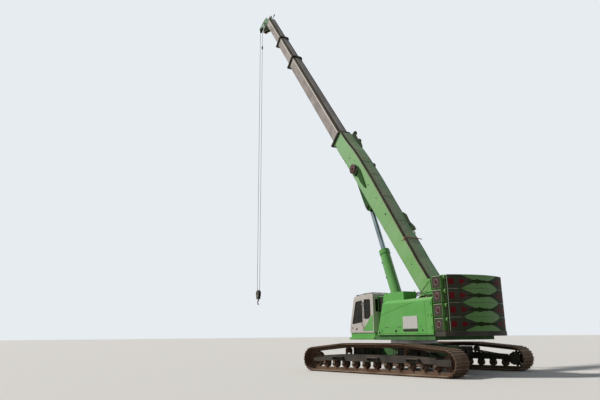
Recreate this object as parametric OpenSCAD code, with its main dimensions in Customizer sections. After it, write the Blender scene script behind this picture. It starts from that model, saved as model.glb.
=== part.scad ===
// Telescopic crawler crane, full size, in millimetres.
// X runs forward along the boom's plane, Y to the operator's left, Z up.
// The origin is on the ground, on the slewing axis.

/* [Undercarriage] */
// Angle of the undercarriage under the upper carriage
track_turn = 16; // [0:1:45]
// Distance between the middles of the two tracks
track_gauge = 5100; // [4700:10:5600]
// Width of a track shoe
shoe_w = 900; // [700:10:1000]
// Distance from the slewing axis to the sprocket's and the idler's axles
wheel_x = 3330; // [3100:10:3600]
// Height of the sprocket's and the idler's axles
wheel_z = 500; // [490:5:520]
// Height of the axles of the two carrier rollers
carrier_z = 880; // [860:5:900]
// Distance from the slewing axis to a carrier roller
carrier_x = 1500; // [1200:10:1800]
// Radius of a carrier roller
carrier_r = 110; // [90:5:120]
// Height of a track roller's axle
roller_z = 310; // [305:1:320]
// Number of track rollers on a side
roller_count = 11; // [7:1:12]
// Height of the chain, from a wheel's rim to the shoe
chain_h = 120; // [100:5:140]
// Thickness of a shoe's plate
shoe_t = 24; // [18:1:30]
// Height of a shoe's bars
bar_h = 36; // [25:1:45]
// Number of shoes on a track
shoe_count = 66; // [50:1:70]
// Width of a track frame's box
side_w = 420; // [360:10:480]
// Length of the middle body, along the tracks
body_l = 2300; // [2000:10:2600]
// Width of the middle body, across the tracks
body_w = 2200; // [2000:10:2500]
// Underside of the middle body
body_low = 480; // [450:10:520]
// Width of a cross beam
beam_w = 560; // [450:10:650]
// Underside of a cross beam
beam_low = 540; // [520:10:560]
// Height of a cross beam
beam_h = 440; // [400:10:460]
// Distance from the slewing axis to a cross beam's middle
beam_x = 1150; // [1000:10:1300]

/* [Slewing ring and deck] */
// Top of the middle body
body_top = 1130; // [1100:5:1160]
// Outer radius of the slewing ring
ring_r = 1000; // [850:10:1100]
// Height of the slewing ring
ring_h = 150; // [120:5:170]
// Thickness of the deck
deck_t = 200; // [180:5:210]
// Distance from the slewing axis forward to the deck's front
deck_front = 790; // [700:10:850]
// Radius of the deck's opening on the slewing axis
rotary_r = 300; // [200:10:400]
// Half width of the bay in the deck that the cylinder's foot dips into
bay_half_w = 155; // [155:1:158]
// Half width of the deck and the hoods
upper_half_w = 1550; // [1450:10:1600]
// Distance from the slewing axis back to the hoods' rear
upper_rear = 3127; // [3050:1:3180]
// Distance from the slewing axis forward to the hoods' lower front
upper_front = 490; // [400:10:600]

/* [Boom mounting] */
// Distance from the slewing axis back to the boom's pivot
pivot_back = 1565; // [1500:5:1700]
// Height of the boom's pivot
pivot_z = 2955; // [2900:5:3050]
// Boom's angle above the ground, as it stands
boom_angle = 53; // [40:0.5:70]
// Radius of the boom's pin
boom_pin_r = 110; // [90:5:130]
// Thickness of a side plate
plate_t = 60; // [40:5:80]
// Distance from the middle to the inner face of a side plate
plate_y = 400; // [390:5:430]
// Running gap round a pin and beside a hub
pin_gap = 0.3; // [0.3:0.1:1]

/* [Boom] */
// Length of the base section from its pivot to its collar's end
base_l = 11900; // [11500:10:12500]
// Pivot line's height above the base section's underside
base_under = 375; // [350:5:400]
// Gap between a slide pad and the section that runs on it
slide_gap = 0.3; // [0.3:0.1:1]
// Distance from the pivot to the first section's collar end, as it stands
boom_1_end = 22000; // [20000:10:22200]
// Distance from the pivot to the second section's collar end, as it stands
boom_2_end = 25540; // [24000:10:26000]
// Distance from the pivot to the third section's tube end, as it stands
boom_3_end = 29300; // [29000:10:30000]
// Length of a moving section, back from its collar's end
section_l = 11850; // [11500:10:12000]
// Length of a collar
collar_l = 110; // [90:10:160]
// Distance along the boom from its pivot to the hose reel
reel_u = 8850; // [8500:10:9200]
// Height of the hose reel's axle over the boom's pivot line
reel_v = 110; // [0:10:200]
// Radius of the hose reel
reel_r = 260; // [200:10:300]
// How far a collar stands out from its section
collar_out = 90; // [50:5:110]

/* [Lifting cylinder] */
// Distance of the cylinder's foot ahead of the slewing axis
foot_x = 480; // [450:5:520]
// Height of the cylinder's foot
foot_z = 1950; // [1900:5:2000]
// Distance along the boom from its pivot to the rod's eye
eye_u = 6530; // [6400:10:6700]
// Distance of the rod's eye under the boom's pivot line
eye_v = 550; // [540:5:600]
// Outer radius of the barrel
barrel_r = 235; // [200:5:250]
// Length of the barrel from its foot's pin
barrel_l = 3770; // [3600:10:3900]
// Radius of the rod
rod_r = 120; // [100:5:140]
// Length of the rod back from its eye
rod_l = 3860; // [3820:10:3870]
// Radius of the pins at the cylinder's ends
cyl_pin_r = 75; // [60:5:90]

/* [Hoods and counterweight] */
// Radius of the hoods' upper outer edge
hood_edge_r = 150; // [80:10:200]
// Radius of the hoods' upper front corner
hood_front_r = 220; // [100:10:300]
// Height of the hoods' tops
hood_top_z = 2880; // [2850:10:2900]
// How far the hoods' front leans back
hood_slope = 500; // [300:10:600]
// Thickness of a hood's panels
hood_t = 40; // [25:5:60]
// Distance from the middle to the inner side of the box on the left hood
box_y = 740; // [700:10:780]
// Width of the box on the left hood
box_w = 660; // [600:10:680]
// Distance from the slewing axis back to that box's rear
box_rear = 1260; // [1100:10:1400]
// Height of that box's top
box_top = 3220; // [3150:10:3300]
// Width of the joint between two panels
joint_w = 14; // [8:1:20]
// Depth of the joint between two panels
joint_d = 10; // [6:1:20]
// Distance of the rear panel's joint from the slewing axis, backwards negative
rear_panel_x = -2730; // [-2900:10:-2600]
// Distance from the middle to a hood's inner face
hood_in_y = 520; // [500:5:600]
// Height of a slab
slab_h = 506; // [480:1:520]
// Gap that shows between two slabs
slab_gap = 8; // [6:1:15]
// Underside of the lowest slab
slab_z = 1590; // [1560:5:1620]
// Half width of a slab
slab_half_w = 1530; // [1450:10:1550]
// Distance from the slewing axis back to a slab's front face
slab_front = 3200; // [3190:5:3300]
// Radius of the slabs' rounded rear
tail_r = 2700; // [2500:10:3000]
// Distance from the slewing axis back to the middle of that round
tail_mid = 1525; // [1200:5:1700]
// Distance from the slewing axis back to the front of the lug's recess
recess_front = 3670; // [3600:10:3700]
// Length of the lug's recess
recess_l = 180; // [150:10:250]
// Depth of the lug's recess
recess_d = 260; // [150:10:300]
// Thickness of a lifting lug
lug_t = 60; // [40:5:80]
// Radius of a lifting lug's round end
lug_r = 85; // [60:5:110]
// Length of a lifting lug, to the middle of its round end
lug_out = 110; // [80:5:140]
// Height of the groove between two slabs in front of the recess
groove_h = 60; // [40:5:90]
// Depth of the groove between two slabs
groove_d = 130; // [60:10:200]
// Thickness of the tray under the slabs
tray_t = 170; // [120:10:190]

/* [Cab] */
// Distance from the slewing axis forward to the cab's rear wall
cab_rear = 815; // [800:5:850]
// Length of the cab's floor
cab_l = 1950; // [1800:10:2100]
// Length of the cab's roof
cab_roof_l = 1550; // [1450:10:1600]
// How far the cab's roof drops to its front
cab_roof_drop = 60; // [40:5:130]
// Width of the cab
cab_w = 950; // [850:10:1000]
// Distance from the middle to the cab's outer side
cab_out_y = 1505; // [1450:5:1550]
// Underside of the cab
cab_z = 1590; // [1560:5:1620]
// Height of the cab's roof at the rear
cab_top_z = 3280; // [3200:10:3350]
// Thickness of the cab's walls
cab_t = 50; // [30:5:60]
// Distance from the slewing axis forward to the door's hinge
hinge_x = 1630; // [1600:5:1640]
// Radius of a door hinge's knuckle
knuckle_r = 15; // [12:1:20]

/* [Head, rope and hook] */
// Radius of a sheave at its rim
sheave_r = 250; // [200:10:300]
// Width of a sheave
sheave_w = 70; // [50:5:80]
// Number of guide sheaves under the head
guide_count = 3; // [1:2:3]
// Distance from the third section's end to the hoist sheave's axle
nose_l = 1680; // [1620:10:1720]
// Distance of the hoist sheave's axle under the boom's pivot line
nose_drop = 1230; // [1200:10:1260]
// Distance from the third section's end to the guide sheaves' axle
guide_l = 630; // [580:10:680]
// Distance of the guide sheaves' axle under the boom's pivot line
guide_drop = 820; // [780:10:860]
// Length of the head's closed box
head_l = 820; // [780:10:860]
// Height of that box's top at its front end over the boom's pivot line
head_front_v = 100; // [80:10:130]
// Diameter of the hoist rope
rope_d = 28; // [20:1:36]
// Height of the hook block's sheave axle
block_z = 4600; // [3500:50:6000]
// Opening of the hook
hook_r = 95; // [80:5:110]
// Radius of the bores for a jib's pins
jib_pin_r = 30; // [25:1:40]

/* [Hidden] */
$fn = 48;

green = "#4caf50";
dark_green = "#2f6b33";
grey = "#8c8880";
dark = "#33322f";
pale = "#c9cac6";
rust = "#6e4a3c";

// Fold in the left hood's side, as [x, z], and the holes along its foot
hood_fold = [[200, 2290], [-500, 2445], [-1370, 2620], [-1970, 2700]];
hood_holes = [140, -880, -2520];

// Track layout: wheels as [x, z, radius of the chain's inner face], clockwise from the rear
wheel_r = wheel_z - roller_gap_z();
track_wheels = [
    [-wheel_x, wheel_z, wheel_r],
    [-carrier_x, carrier_z, carrier_r],
    [carrier_x, carrier_z, carrier_r],
    [wheel_x, wheel_z, wheel_r]
];
function roller_gap_z() = bar_h + shoe_t + chain_h;

// Largest turn between two points on a track's arcs, and the radius that clears its chords
loop_step = 12;
rim_r = wheel_r * cos(loop_step / 2) - pin_gap;
roller_r = roller_z - roller_gap_z() - pin_gap;
side_y = track_gauge / 2;
deck_z = body_top + ring_h + pin_gap;
deck_top = deck_z + deck_t;
hood_z = deck_top;

// Boom sections as [width, height], from the base to the last one
boom_sizes = [[700, 933], [650, 880], [600, 780], [550, 700]];
boom_wall = 16;
boom_mid = boom_sizes[0][1] / 2 - base_under;
boom_ends = [base_l, boom_1_end, boom_2_end, boom_3_end];

// A point of the boom's own frame in the crane's frame
function on_boom(u, v) = [
    -pivot_back + u * cos(boom_angle) - v * sin(boom_angle),
    0,
    pivot_z + u * sin(boom_angle) + v * cos(boom_angle)
];
eye = on_boom(eye_u, -eye_v);
cyl_l = norm(eye - [foot_x, 0, foot_z]);
cyl_angle = atan2(eye[2] - foot_z, eye[0] - foot_x);

// Half widths of the eyes at the cylinder's foot and at the rod's end
foot_eye_half = 150;
rod_eye_half = 140;
barrel_start = 350;

// Raised back of the base section, as [distance along the boom, height over its top]
base_back = [[1700, -20], [2200, 35], [3500, 80], [5000, 145], [7200, 240], [9000, 260],
    [9800, 235], [10700, 150], [11700, 110], [11750, -20]];

// Boom head's sheaves in the boom's frame
sheave_u = boom_3_end + nose_l;
sheave_v = -nose_drop;
overlap = 0.05;
root_v = boom_mid - boom_sizes[3][1] / 2;
sheave_at = on_boom(sheave_u, sheave_v);
rope_x = sheave_at[0];
rope_z = sheave_at[2];
arm_y = 82.5;
arm_t = 25;
head_y = 190;
head_t = 20;
head_top_v = 390;
hanger_y = 162.5;
hanger_t = 25;
sheave_pin_r = 60;
fall_r = sheave_r - 20;

module in_boom() {
    translate([-pivot_back, 0, pivot_z]) rotate([0, -boom_angle, 0]) children();
}

module in_cylinder() {
    translate([foot_x, 0, foot_z]) rotate([0, -cyl_angle, 0]) children();
}

module under() {
    rotate([0, 0, track_turn]) children();
}

// Cylinder lying along Y, centred on the middle plane
module across(r, l) {
    rotate([90, 0, 0]) cylinder(r = r, h = l, center = true);
}

// Plate in the XZ plane, from y to y + t
module plate_xz(y, t) {
    translate([0, y + t, 0]) rotate([90, 0, 0]) linear_extrude(t) children();
}

// Closed outline with rounded corners, from rows of [x, y, corner radius]
function unit(v) = v / norm(v);
function corner_arc(a, b, c) =
    let (
        to_a = unit([a[0] - b[0], a[1] - b[1]]),
        to_c = unit([c[0] - b[0], c[1] - b[1]]),
        half = acos(to_a * to_c) / 2,
        at = [b[0], b[1]]
    )
    [at + to_a * b[2] / tan(half), at + to_c * b[2] / tan(half), at + unit(to_a + to_c) * b[2] / sin(half)];

module rounded(corners) {
    n = len(corners);
    arcs = [for (i = [0 : n - 1]) corner_arc(corners[(i + n - 1) % n], corners[i], corners[(i + 1) % n])];
    polygon([for (i = [0 : n - 1]) each corners[i][2] > 0 ? [arcs[i][0], arcs[i][1]] : [arcs[i][0]]]);
    for (i = [0 : n - 1]) if (corners[i][2] > 0) translate(arcs[i][2]) circle(r = corners[i][2] + overlap);
}

// Box given by its lower and upper corners
module span_box(low, high) {
    translate(low) cube(high - low);
}

// Rectangle with its own corner radii above and below, centred on the origin
module boom_outline(w, h, top_r, under_r) {
    translate([-w / 2, -h / 2 + under_r]) square([w, h - top_r - under_r]);
    translate([-w / 2 + under_r, -h / 2]) square([w - 2 * under_r, h]);
    translate([-w / 2 + top_r, 0]) square([w - 2 * top_r, h / 2]);
    for (side = [-1, 1]) {
        translate([side * (w / 2 - under_r), -h / 2 + under_r]) circle(r = under_r);
        translate([side * (w / 2 - top_r), h / 2 - top_r]) circle(r = top_r);
    }
}

// The outline of one section, grown by a distance
module section_outline(size, grow) {
    boom_outline(size[0] + 2 * grow, size[1] + 2 * grow,
        size[0] * 0.13 + grow, size[0] * 0.36 + grow);
}

// Stands an outline up along the boom, from one distance to another
module along_boom(from, to) {
    translate([from, 0, boom_mid]) rotate([90, 0, 90]) linear_extrude(to - from) children();
}

// Hollow tube of one section
module section_tube(size, from, to) {
    along_boom(from, to) difference() {
        section_outline(size, 0);
        section_outline(size, -boom_wall);
    }
}

// Collar round a section's end, with pads that carry the next section
module section_collar(size, inner, end) {
    along_boom(end - collar_l, end) difference() {
        section_outline(size, collar_out);
        section_outline(size, -boom_wall);
    }
    pad_w = inner[0] * 0.24;
    pad_h = (size[1] - inner[1]) / 2 - slide_gap;
    pad_d = (size[0] - inner[0]) / 2 - slide_gap;
    pad_l = collar_l - 30;
    for (side = [-1, 1]) {
        translate([end - collar_l + 15, -pad_w / 2, boom_mid + side * (inner[1] / 2 + slide_gap)])
            translate([0, 0, side > 0 ? 0 : -pad_h]) cube([pad_l, pad_w, pad_h]);
        translate([end - collar_l + 15, side * (inner[0] / 2 + slide_gap), boom_mid])
            translate([0, side > 0 ? 0 : -pad_d, 0]) cube([pad_l, pad_d, pad_w]);
    }
}

// Undercarriage

// Outer tangent between two wheels passed clockwise, as the angle of its normal
function tangent_angle(a, b) =
    let (dx = b[0] - a[0], dz = b[1] - a[1], d = norm([dx, dz]))
    atan2(dz, dx) + 90 + asin((b[2] - a[2]) / d);

// Normal's angle on each stretch between two wheels, and the lower run
function run_angles() = [
    for (i = [0 : len(track_wheels) - 2]) tangent_angle(track_wheels[i], track_wheels[i + 1])
];

// Points of the closed line at a distance outside the chain's inner face:
// each wheel is passed on an arc from the run before it to the run after it
function loop_arc(wheel, from, to, grow, step) =
    let (n = max(1, ceil((from - to) / step)))
    [for (k = [0 : n]) let (a = from + (to - from) * k / n)
        [wheel[0] + (wheel[2] + grow) * cos(a), wheel[1] + (wheel[2] + grow) * sin(a)]];

function loop_points(grow, step) =
    let (runs = run_angles(), last = len(track_wheels) - 1)
    concat(
        loop_arc(track_wheels[0], 270, runs[0], grow, step),
        [for (i = [1 : last - 1]) each
            loop_arc(track_wheels[i], runs[i - 1], runs[i], grow, step)],
        loop_arc(track_wheels[last], runs[last - 1], -90, grow, step)
    );

// Running length along a closed list of points
function edge_length(p, i) = norm(p[(i + 1) % len(p)] - p[i]);
function lengths_to(p, i = 0, sum = 0) =
    i >= len(p) ? [sum] : concat([sum], lengths_to(p, i + 1, sum + edge_length(p, i)));

// Point and direction at a running length s
function point_on(p, sums, s) =
    let (
        at = s % sums[len(p)],
        i = max([for (k = [0 : len(p) - 1]) if (sums[k] <= at) k]),
        step = p[(i + 1) % len(p)] - p[i],
        f = (at - sums[i]) / norm(step),
        dir = step / norm(step)
    )
    [p[i] + step * f, dir];

// A shoe's outline along the loop: two bars on a plate, as [share of the pitch, height]
shoe_shape = [[-0.47, 0], [-0.47, 1], [-0.33, 1], [-0.3, 0], [0.1, 0], [0.13, 1], [0.22, 1], [0.25, 0]];

function shoe_points(p, sums) =
    let (total = sums[len(p)], pitch = total / shoe_count)
    [for (k = [0 : shoe_count - 1]) for (c = shoe_shape)
        let (
            at = point_on(p, sums, (k + 0.5 + c[0]) * pitch),
            out = [-at[1][1], at[1][0]]
        )
        at[0] + out * c[1] * bar_h];

module track(y) {
    plate_line = loop_points(chain_h + shoe_t, loop_step);
    sums = lengths_to(plate_line);
    color(rust) plate_xz(y - shoe_w / 2, shoe_w) difference() {
        polygon(shoe_points(plate_line, sums));
        polygon(loop_points(chain_h, loop_step));
    }
    color(dark) plate_xz(y - 110, 220) difference() {
        polygon(loop_points(chain_h, loop_step));
        polygon(loop_points(0, loop_step));
    }
}

module track_wheel_pair(x) {
    for (side = [-1, 1]) translate([x, side * side_y, wheel_z]) children();
}

module sprockets() {
    teeth = 13;
    rim = rim_r;
    color(rust) under() track_wheel_pair(-wheel_x) difference() {
        union() {
            rotate([90, 0, 0]) linear_extrude(90, center = true) polygon([
                for (k = [0 : teeth - 1]) for (c = [[-0.34, 0.84], [-0.16, 1], [0.16, 1], [0.34, 0.84]])
                    let (a = (k + c[0]) * 360 / teeth) rim * c[1] * [cos(a), sin(a)]
            ]);
            across(180, 250);
        }
        for (k = [0 : 5]) rotate([0, k * 60, 0]) translate([215, 0, 0]) across(26, 100);
    }
}

module idlers() {
    color(rust) under() track_wheel_pair(wheel_x) {
        rotate([90, 0, 0]) rotate_extrude($fn = 64) polygon([
            [60, -120 + pin_gap], [130, -120 + pin_gap], [150, -40], [220, -30],
            [250, -95], [rim_r, -95], [rim_r, 95], [250, 95], [220, 30], [150, 40],
            [130, 120 - pin_gap], [60, 120 - pin_gap]
        ]);
        across(60, side_w + 20);
    }
}

module track_rollers() {
    span = 2 * wheel_x - 1100;
    color(dark) under() for (side = [-1, 1]) {
        for (k = [0 : roller_count - 1]) {
            translate([-span / 2 + span * k / (roller_count - 1), side * side_y, roller_z]) {
                across(roller_r, 220);
                across(45, side_w - 40);
                for (end = [-1, 1]) translate([-60, end * (side_w / 2 - 45) - 25, 0])
                    cube([120, 50, side_bottom() - roller_z]);
            }
        }
        for (x = [-1, 1]) translate([x * carrier_x, side * side_y, carrier_z]) {
            across(carrier_r * cos(loop_step / 2) - pin_gap, 200);
            for (end = [-1, 1]) translate([-45, end * 140 - 25, side_top() - carrier_z])
                cube([90, 50, carrier_z - side_top() + 45]);
            across(40, 300);
        }
    }
}

function side_bottom() = roller_z + 140;
function side_top() = 720;

module track_frame(side) {
    y = side * side_y;
    half_l = wheel_x - 480;
    color(dark) under() {
        difference() {
            union() {
                plate_xz(y - side_w / 2, side_w) polygon([
                    [-half_l, side_bottom()], [half_l, side_bottom()],
                    [half_l, side_top() - 60], [carrier_x + 250, side_top()],
                    [-carrier_x - 250, side_top()], [-half_l, side_top() - 60]
                ]);
                for (end = [-1, 1]) {
                    // Yoke beside the idler, fixed box beside the sprocket
                    translate([0, y + end * (side_w / 2 - 45) - 40, 0])
                        span_box([half_l - 10, 0, wheel_z - 90], [wheel_x + 140, 80, wheel_z + 90]);
                    translate([0, y + end * (side_w / 2 - 45) - 40, 0])
                        span_box([-wheel_x - 140, 0, wheel_z - 110], [-half_l + 10, 80, wheel_z + 110]);
                }
                translate([-wheel_x, y - side * (side_w / 2 + 35), wheel_z]) across(250, 150);
            }
            translate([wheel_x, y, wheel_z]) across(60 + pin_gap, side_w + 100);
        }
    }
}

module car_body() {
    sleeve = 60;
    color(dark_green) under() difference() {
        union() {
            span_box([-body_l / 2 + 300, -body_w / 2, body_low], [body_l / 2 - 300, body_w / 2, body_top - 40]);
            for (x = [-1, 1]) span_box([x * beam_x - beam_w / 2 - sleeve, -body_w / 2 - 30, beam_low - 40],
                [x * beam_x + beam_w / 2 + sleeve, body_w / 2 + 30, beam_low + beam_h + 50]);
            translate([0, 0, body_top - 60]) cylinder(r = ring_r + 40, h = 60);
        }
        translate([0, 0, body_top - 300]) cylinder(r = ring_r - 350, h = 400);
    }
}

// Beams that carry the track frames and slide in the middle body
module cross_beams() {
    beam_end = track_gauge / 2 - side_w / 2;
    color(dark) under() for (x = [-1, 1]) for (side = [-1, 1]) difference() {
        translate([x * beam_x - beam_w / 2, side > 0 ? body_w / 2 + 30 : -beam_end, beam_low])
            cube([beam_w, beam_end - body_w / 2 - 30, beam_h]);
        // Hand holes in the beam's sides
        translate([x * beam_x, side * (body_w / 2 + beam_end) / 2, beam_low + beam_h / 2])
            rotate([0, 90, 0]) cylinder(r = 90, h = beam_w + 2, center = true);
    }
}

module slew_ring() {
    color(grey) translate([0, 0, body_top + 0.01]) difference() {
        cylinder(r = ring_r, h = ring_h, $fn = 72);
        translate([0, 0, -1]) cylinder(r = ring_r - 180, h = ring_h + 2, $fn = 72);
    }
}

// Upper carriage

module side_plate_outline() {
    polygon([
        [-upper_rear + 40, deck_top - 20], [-upper_rear + 40, deck_top + 900],
        [-pivot_back - 420, pivot_z - 120], [-pivot_back - 240, pivot_z + 200],
        [-pivot_back + 240, pivot_z + 200], [-pivot_back + 700, pivot_z - 350],
        [foot_x + 350, foot_z + 250], [foot_x + 420, deck_top - 20]
    ]);
}

module upper_frame() {
    color(dark_green) difference() {
        union() {
            difference() {
                span_box([-upper_rear, -upper_half_w + 60, deck_z],
                    [deck_front, upper_half_w - 60, deck_top]);
                translate([0, 0, deck_z - 1]) cylinder(r = rotary_r, h = deck_t + 2);
                span_box([0, -bay_half_w, deck_z - 1], [deck_front + 1, bay_half_w, deck_top + 1]);
            }
            for (y = [-plate_y - plate_t, plate_y]) plate_xz(y, plate_t) side_plate_outline();
            for (side = [-1, 1]) translate([-pivot_back, side * (plate_y + plate_t / 2), pivot_z])
                across(280, plate_t);
            // Lugs and cross piece at the cylinder's foot
            for (side = [-1, 1]) plate_xz(side * 190 - 30, 60) polygon([
                [foot_x - 350, deck_top - 20], [foot_x - 130, foot_z + 60],
                [foot_x, foot_z + 170], [foot_x + 140, foot_z + 60], [foot_x + 350, deck_top - 20]
            ]);
            span_box([-2300, -plate_y - 5, deck_top - 5], [-2200, plate_y + 5, deck_top + 700]);
        }
        translate([-pivot_back, 0, pivot_z]) across(boom_pin_r + pin_gap, 2 * plate_y + 400);
        translate([foot_x, 0, foot_z]) across(cyl_pin_r + pin_gap, 600);
    }
}

module boom_pin() {
    color(grey) {
        translate([-pivot_back, 0, pivot_z]) across(boom_pin_r, 2 * (plate_y + plate_t) + 60);
        for (side = [-1, 1]) translate([foot_x, side * (250 + foot_eye_half) / 2, foot_z])
            across(cyl_pin_r, 250 - foot_eye_half - pin_gap);
    }
}

// Side profile of a hood: sloped front with a round corner, straight rear
module hood_side_outline(shrink) {
    rounded([
        [-upper_rear + shrink, hood_z + shrink, 0], [upper_front - shrink, hood_z + shrink, 0],
        [upper_front - hood_slope - shrink, hood_top_z - shrink, hood_front_r - shrink],
        [-upper_rear + shrink, hood_top_z - shrink, 0]
    ]);
}

// Cross profile of the left hood, with its round upper edge
module hood_cross_outline(shrink) {
    rounded([
        [hood_in_y + shrink, hood_z - 1, 0], [upper_half_w - shrink, hood_z - 1, 0],
        [upper_half_w - shrink, hood_top_z - shrink, hood_edge_r - shrink],
        [hood_in_y + shrink, hood_top_z - shrink, 0]
    ]);
}

module hood_block(shrink) {
    intersection() {
        translate([0, upper_half_w + 10, 0]) rotate([90, 0, 0])
            linear_extrude(upper_half_w) hood_side_outline(shrink);
        translate([-5000, 0, 0]) rotate([90, 0, 90]) linear_extrude(10000)
            hood_cross_outline(shrink);
    }
}

// Joint between two panels, a line of [x, z] places on the hood's outer side
module hood_joint(from, to) {
    along = unit(to - from) * joint_w / 2;
    across = [-along[1], along[0]];
    plate_xz(upper_half_w - joint_d, joint_d + 5)
        polygon([from + across, from - across, to + along - across, to + along + across]);
}

module hood_left() {
    color(green) difference() {
        hood_block(0);
        hood_block(hood_t);
        span_box([-upper_rear + hood_t, hood_in_y + hood_t, hood_z - 10],
            [upper_front - 100, upper_half_w - hood_t, hood_z + 200]);
        hood_joint([rear_panel_x, hood_z - 5], [rear_panel_x, hood_top_z - hood_edge_r]);
        for (i = [0 : len(hood_fold) - 2]) hood_joint(hood_fold[i], hood_fold[i + 1]);
        for (x = hood_holes) translate([x, upper_half_w, hood_z + 165]) across(38, 3 * hood_t);
    }
}

module hood_right() {
    color(green) mirror([0, 1, 0]) difference() {
        hood_block(0);
        hood_block(hood_t);
        span_box([-upper_rear + hood_t, hood_in_y + hood_t, hood_z - 10],
            [upper_front - 100, upper_half_w - hood_t, hood_z + 200]);
        for (x = [-2750 : 60 : -1850])
            span_box([x, upper_half_w - 60, 1900], [x + 26, upper_half_w + 5, 2560]);
    }
}

module front_box() {
    color(green) difference() {
        plate_xz(box_y, box_w) rounded([
            [-box_rear, hood_top_z, 0], [200, hood_top_z, 0], [90, box_top, 90], [-box_rear, box_top, 0]
        ]);
        translate([0, 0, -40]) plate_xz(box_y + hood_t, box_w - 2 * hood_t) rounded([
            [-box_rear + hood_t, hood_top_z, 0], [200 - hood_t, hood_top_z, 0],
            [90 - hood_t, box_top, 60], [-box_rear + hood_t, box_top, 0]
        ]);
    }
}

module engine() {
    color(grey) span_box([-2700, -1400, deck_top], [-1100, -700, deck_top + 1050]);
}

// Plan of a slab: straight front and sides, and a round rear
module slab_plan() {
    rear = tail_mid + tail_r;
    intersection() {
        translate([-rear - 10, -slab_half_w]) square([rear + 10 - slab_front, 2 * slab_half_w]);
        translate([-tail_mid, 0]) circle(r = tail_r, $fn = 180);
    }
}

module slab(level) {
    z = slab_z + level * (slab_h + slab_gap);
    lug_x = -recess_front - recess_l / 2;
    color(green) difference() {
        union() {
            translate([0, 0, z]) linear_extrude(slab_h) slab_plan();
            if (level > 0) for (side = [-1, 1])
                translate([-slab_front - 300, side * 900, z - slab_gap]) cylinder(r = 90, h = slab_gap + 1);
        }
        for (side = [-1, 1]) {
            // Upright recess for the lifting lugs
            translate([lug_x - recess_l / 2, side > 0 ? slab_half_w - recess_d : -slab_half_w - 10, z - 1])
                cube([recess_l, recess_d + 10, slab_h + 2]);
            // Half of the groove over and under the slab's front block
            for (edge = [z - 1, z + slab_h - (groove_h - slab_gap) / 2 + 1])
                translate([-recess_front, side > 0 ? slab_half_w - groove_d : -slab_half_w - 10, edge])
                    cube([recess_front - slab_front + 10, groove_d + 10, (groove_h - slab_gap) / 2]);
        }
    }
    color(pale) for (side = [-1, 1]) lifting_lug([lug_x, side * (slab_half_w - recess_d), z + slab_h - lug_r - 5], side);
}

// Round-ended eye plate that stands out from a recess
module lifting_lug(at, side) {
    translate(at) rotate([0, 90, 0]) difference() {
        linear_extrude(lug_t, center = true) {
            translate([-lug_r, side > 0 ? -5 : 5 - lug_out]) square([2 * lug_r, lug_out]);
            translate([0, side * (lug_out - 5)]) circle(r = lug_r);
        }
        translate([0, side * (lug_out - 5)]) cylinder(r = lug_r / 2, h = lug_t + 2, center = true);
    }
}

module counterweight_tray() {
    color(dark) {
        translate([0, 0, slab_z - tray_t]) linear_extrude(tray_t) slab_plan();
        span_box([-slab_front, -900, slab_z - tray_t], [-upper_rear, 900, slab_z + 800]);
    }
}

module winch_frame() {
    color(dark_green) {
        for (side = [-1, 1]) difference() {
            span_box([-3080, side * 340 - 25, deck_top], [-2380, side * 340 + 25, deck_top + 760]);
            translate([-2730, 0, deck_top + 400]) across(50 + pin_gap, 900);
        }
    }
}

module winch_drum() {
    color(grey) translate([-2730, 0, deck_top + 400]) {
        across(200, 600);
        for (side = [-1, 1]) translate([0, side * 295, 0]) across(300, 30);
        across(50, 700);
    }
}

// Cab

// Side profile of the cab
module cab_outline(shrink) {
    front = cab_rear + cab_l;
    rounded([
        [cab_rear + shrink, cab_z + shrink, 0],
        [cab_rear + shrink, cab_top_z - shrink, shrink > 0 ? 0 : cab_t + 10],
        [cab_rear + cab_roof_l - shrink * 0.6, cab_top_z - cab_roof_drop - shrink, 110 - shrink],
        [front - 60 - shrink, 2020, 0], [front - shrink, 1820, 0], [front - shrink, cab_z + shrink, 0]
    ]);
}

// Door's window in side view
module door_window() {
    rounded([[1700, 2060, 70], [2560, 1990, 50], [2225, 2990, 70], [1690, 3020, 60]]);
}

// Window behind the door in side view
module rear_side_window() {
    rounded([[1040, 2330, 90], [1180, 2200, 60], [1520, 2190, 50], [1520, 3060, 50], [1040, 3040, 50]]);
}

// Window in the cab's inner side
module inner_window() {
    rounded([[1050, 2300, 70], [2560, 2100, 50], [2190, 3010, 70], [1050, 3030, 50]]);
}

// Door's outline in side view
module door_outline(gap) {
    rounded([
        [1640 + gap, cab_z + 30 + gap, 40], [cab_rear + cab_l - 60 - gap, cab_z + 30 + gap, 40],
        [cab_rear + cab_l - 70 - gap, 1830, 0], [cab_rear + cab_roof_l - 40 - gap, 3070 - gap, 80],
        [1600 + gap, 3080 - gap, 40]
    ]);
}

// Places along the door's hinge
module at_hinges() {
    for (z = [1800, 2850]) translate([hinge_x, cab_out_y + knuckle_r, z]) children();
}

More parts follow.
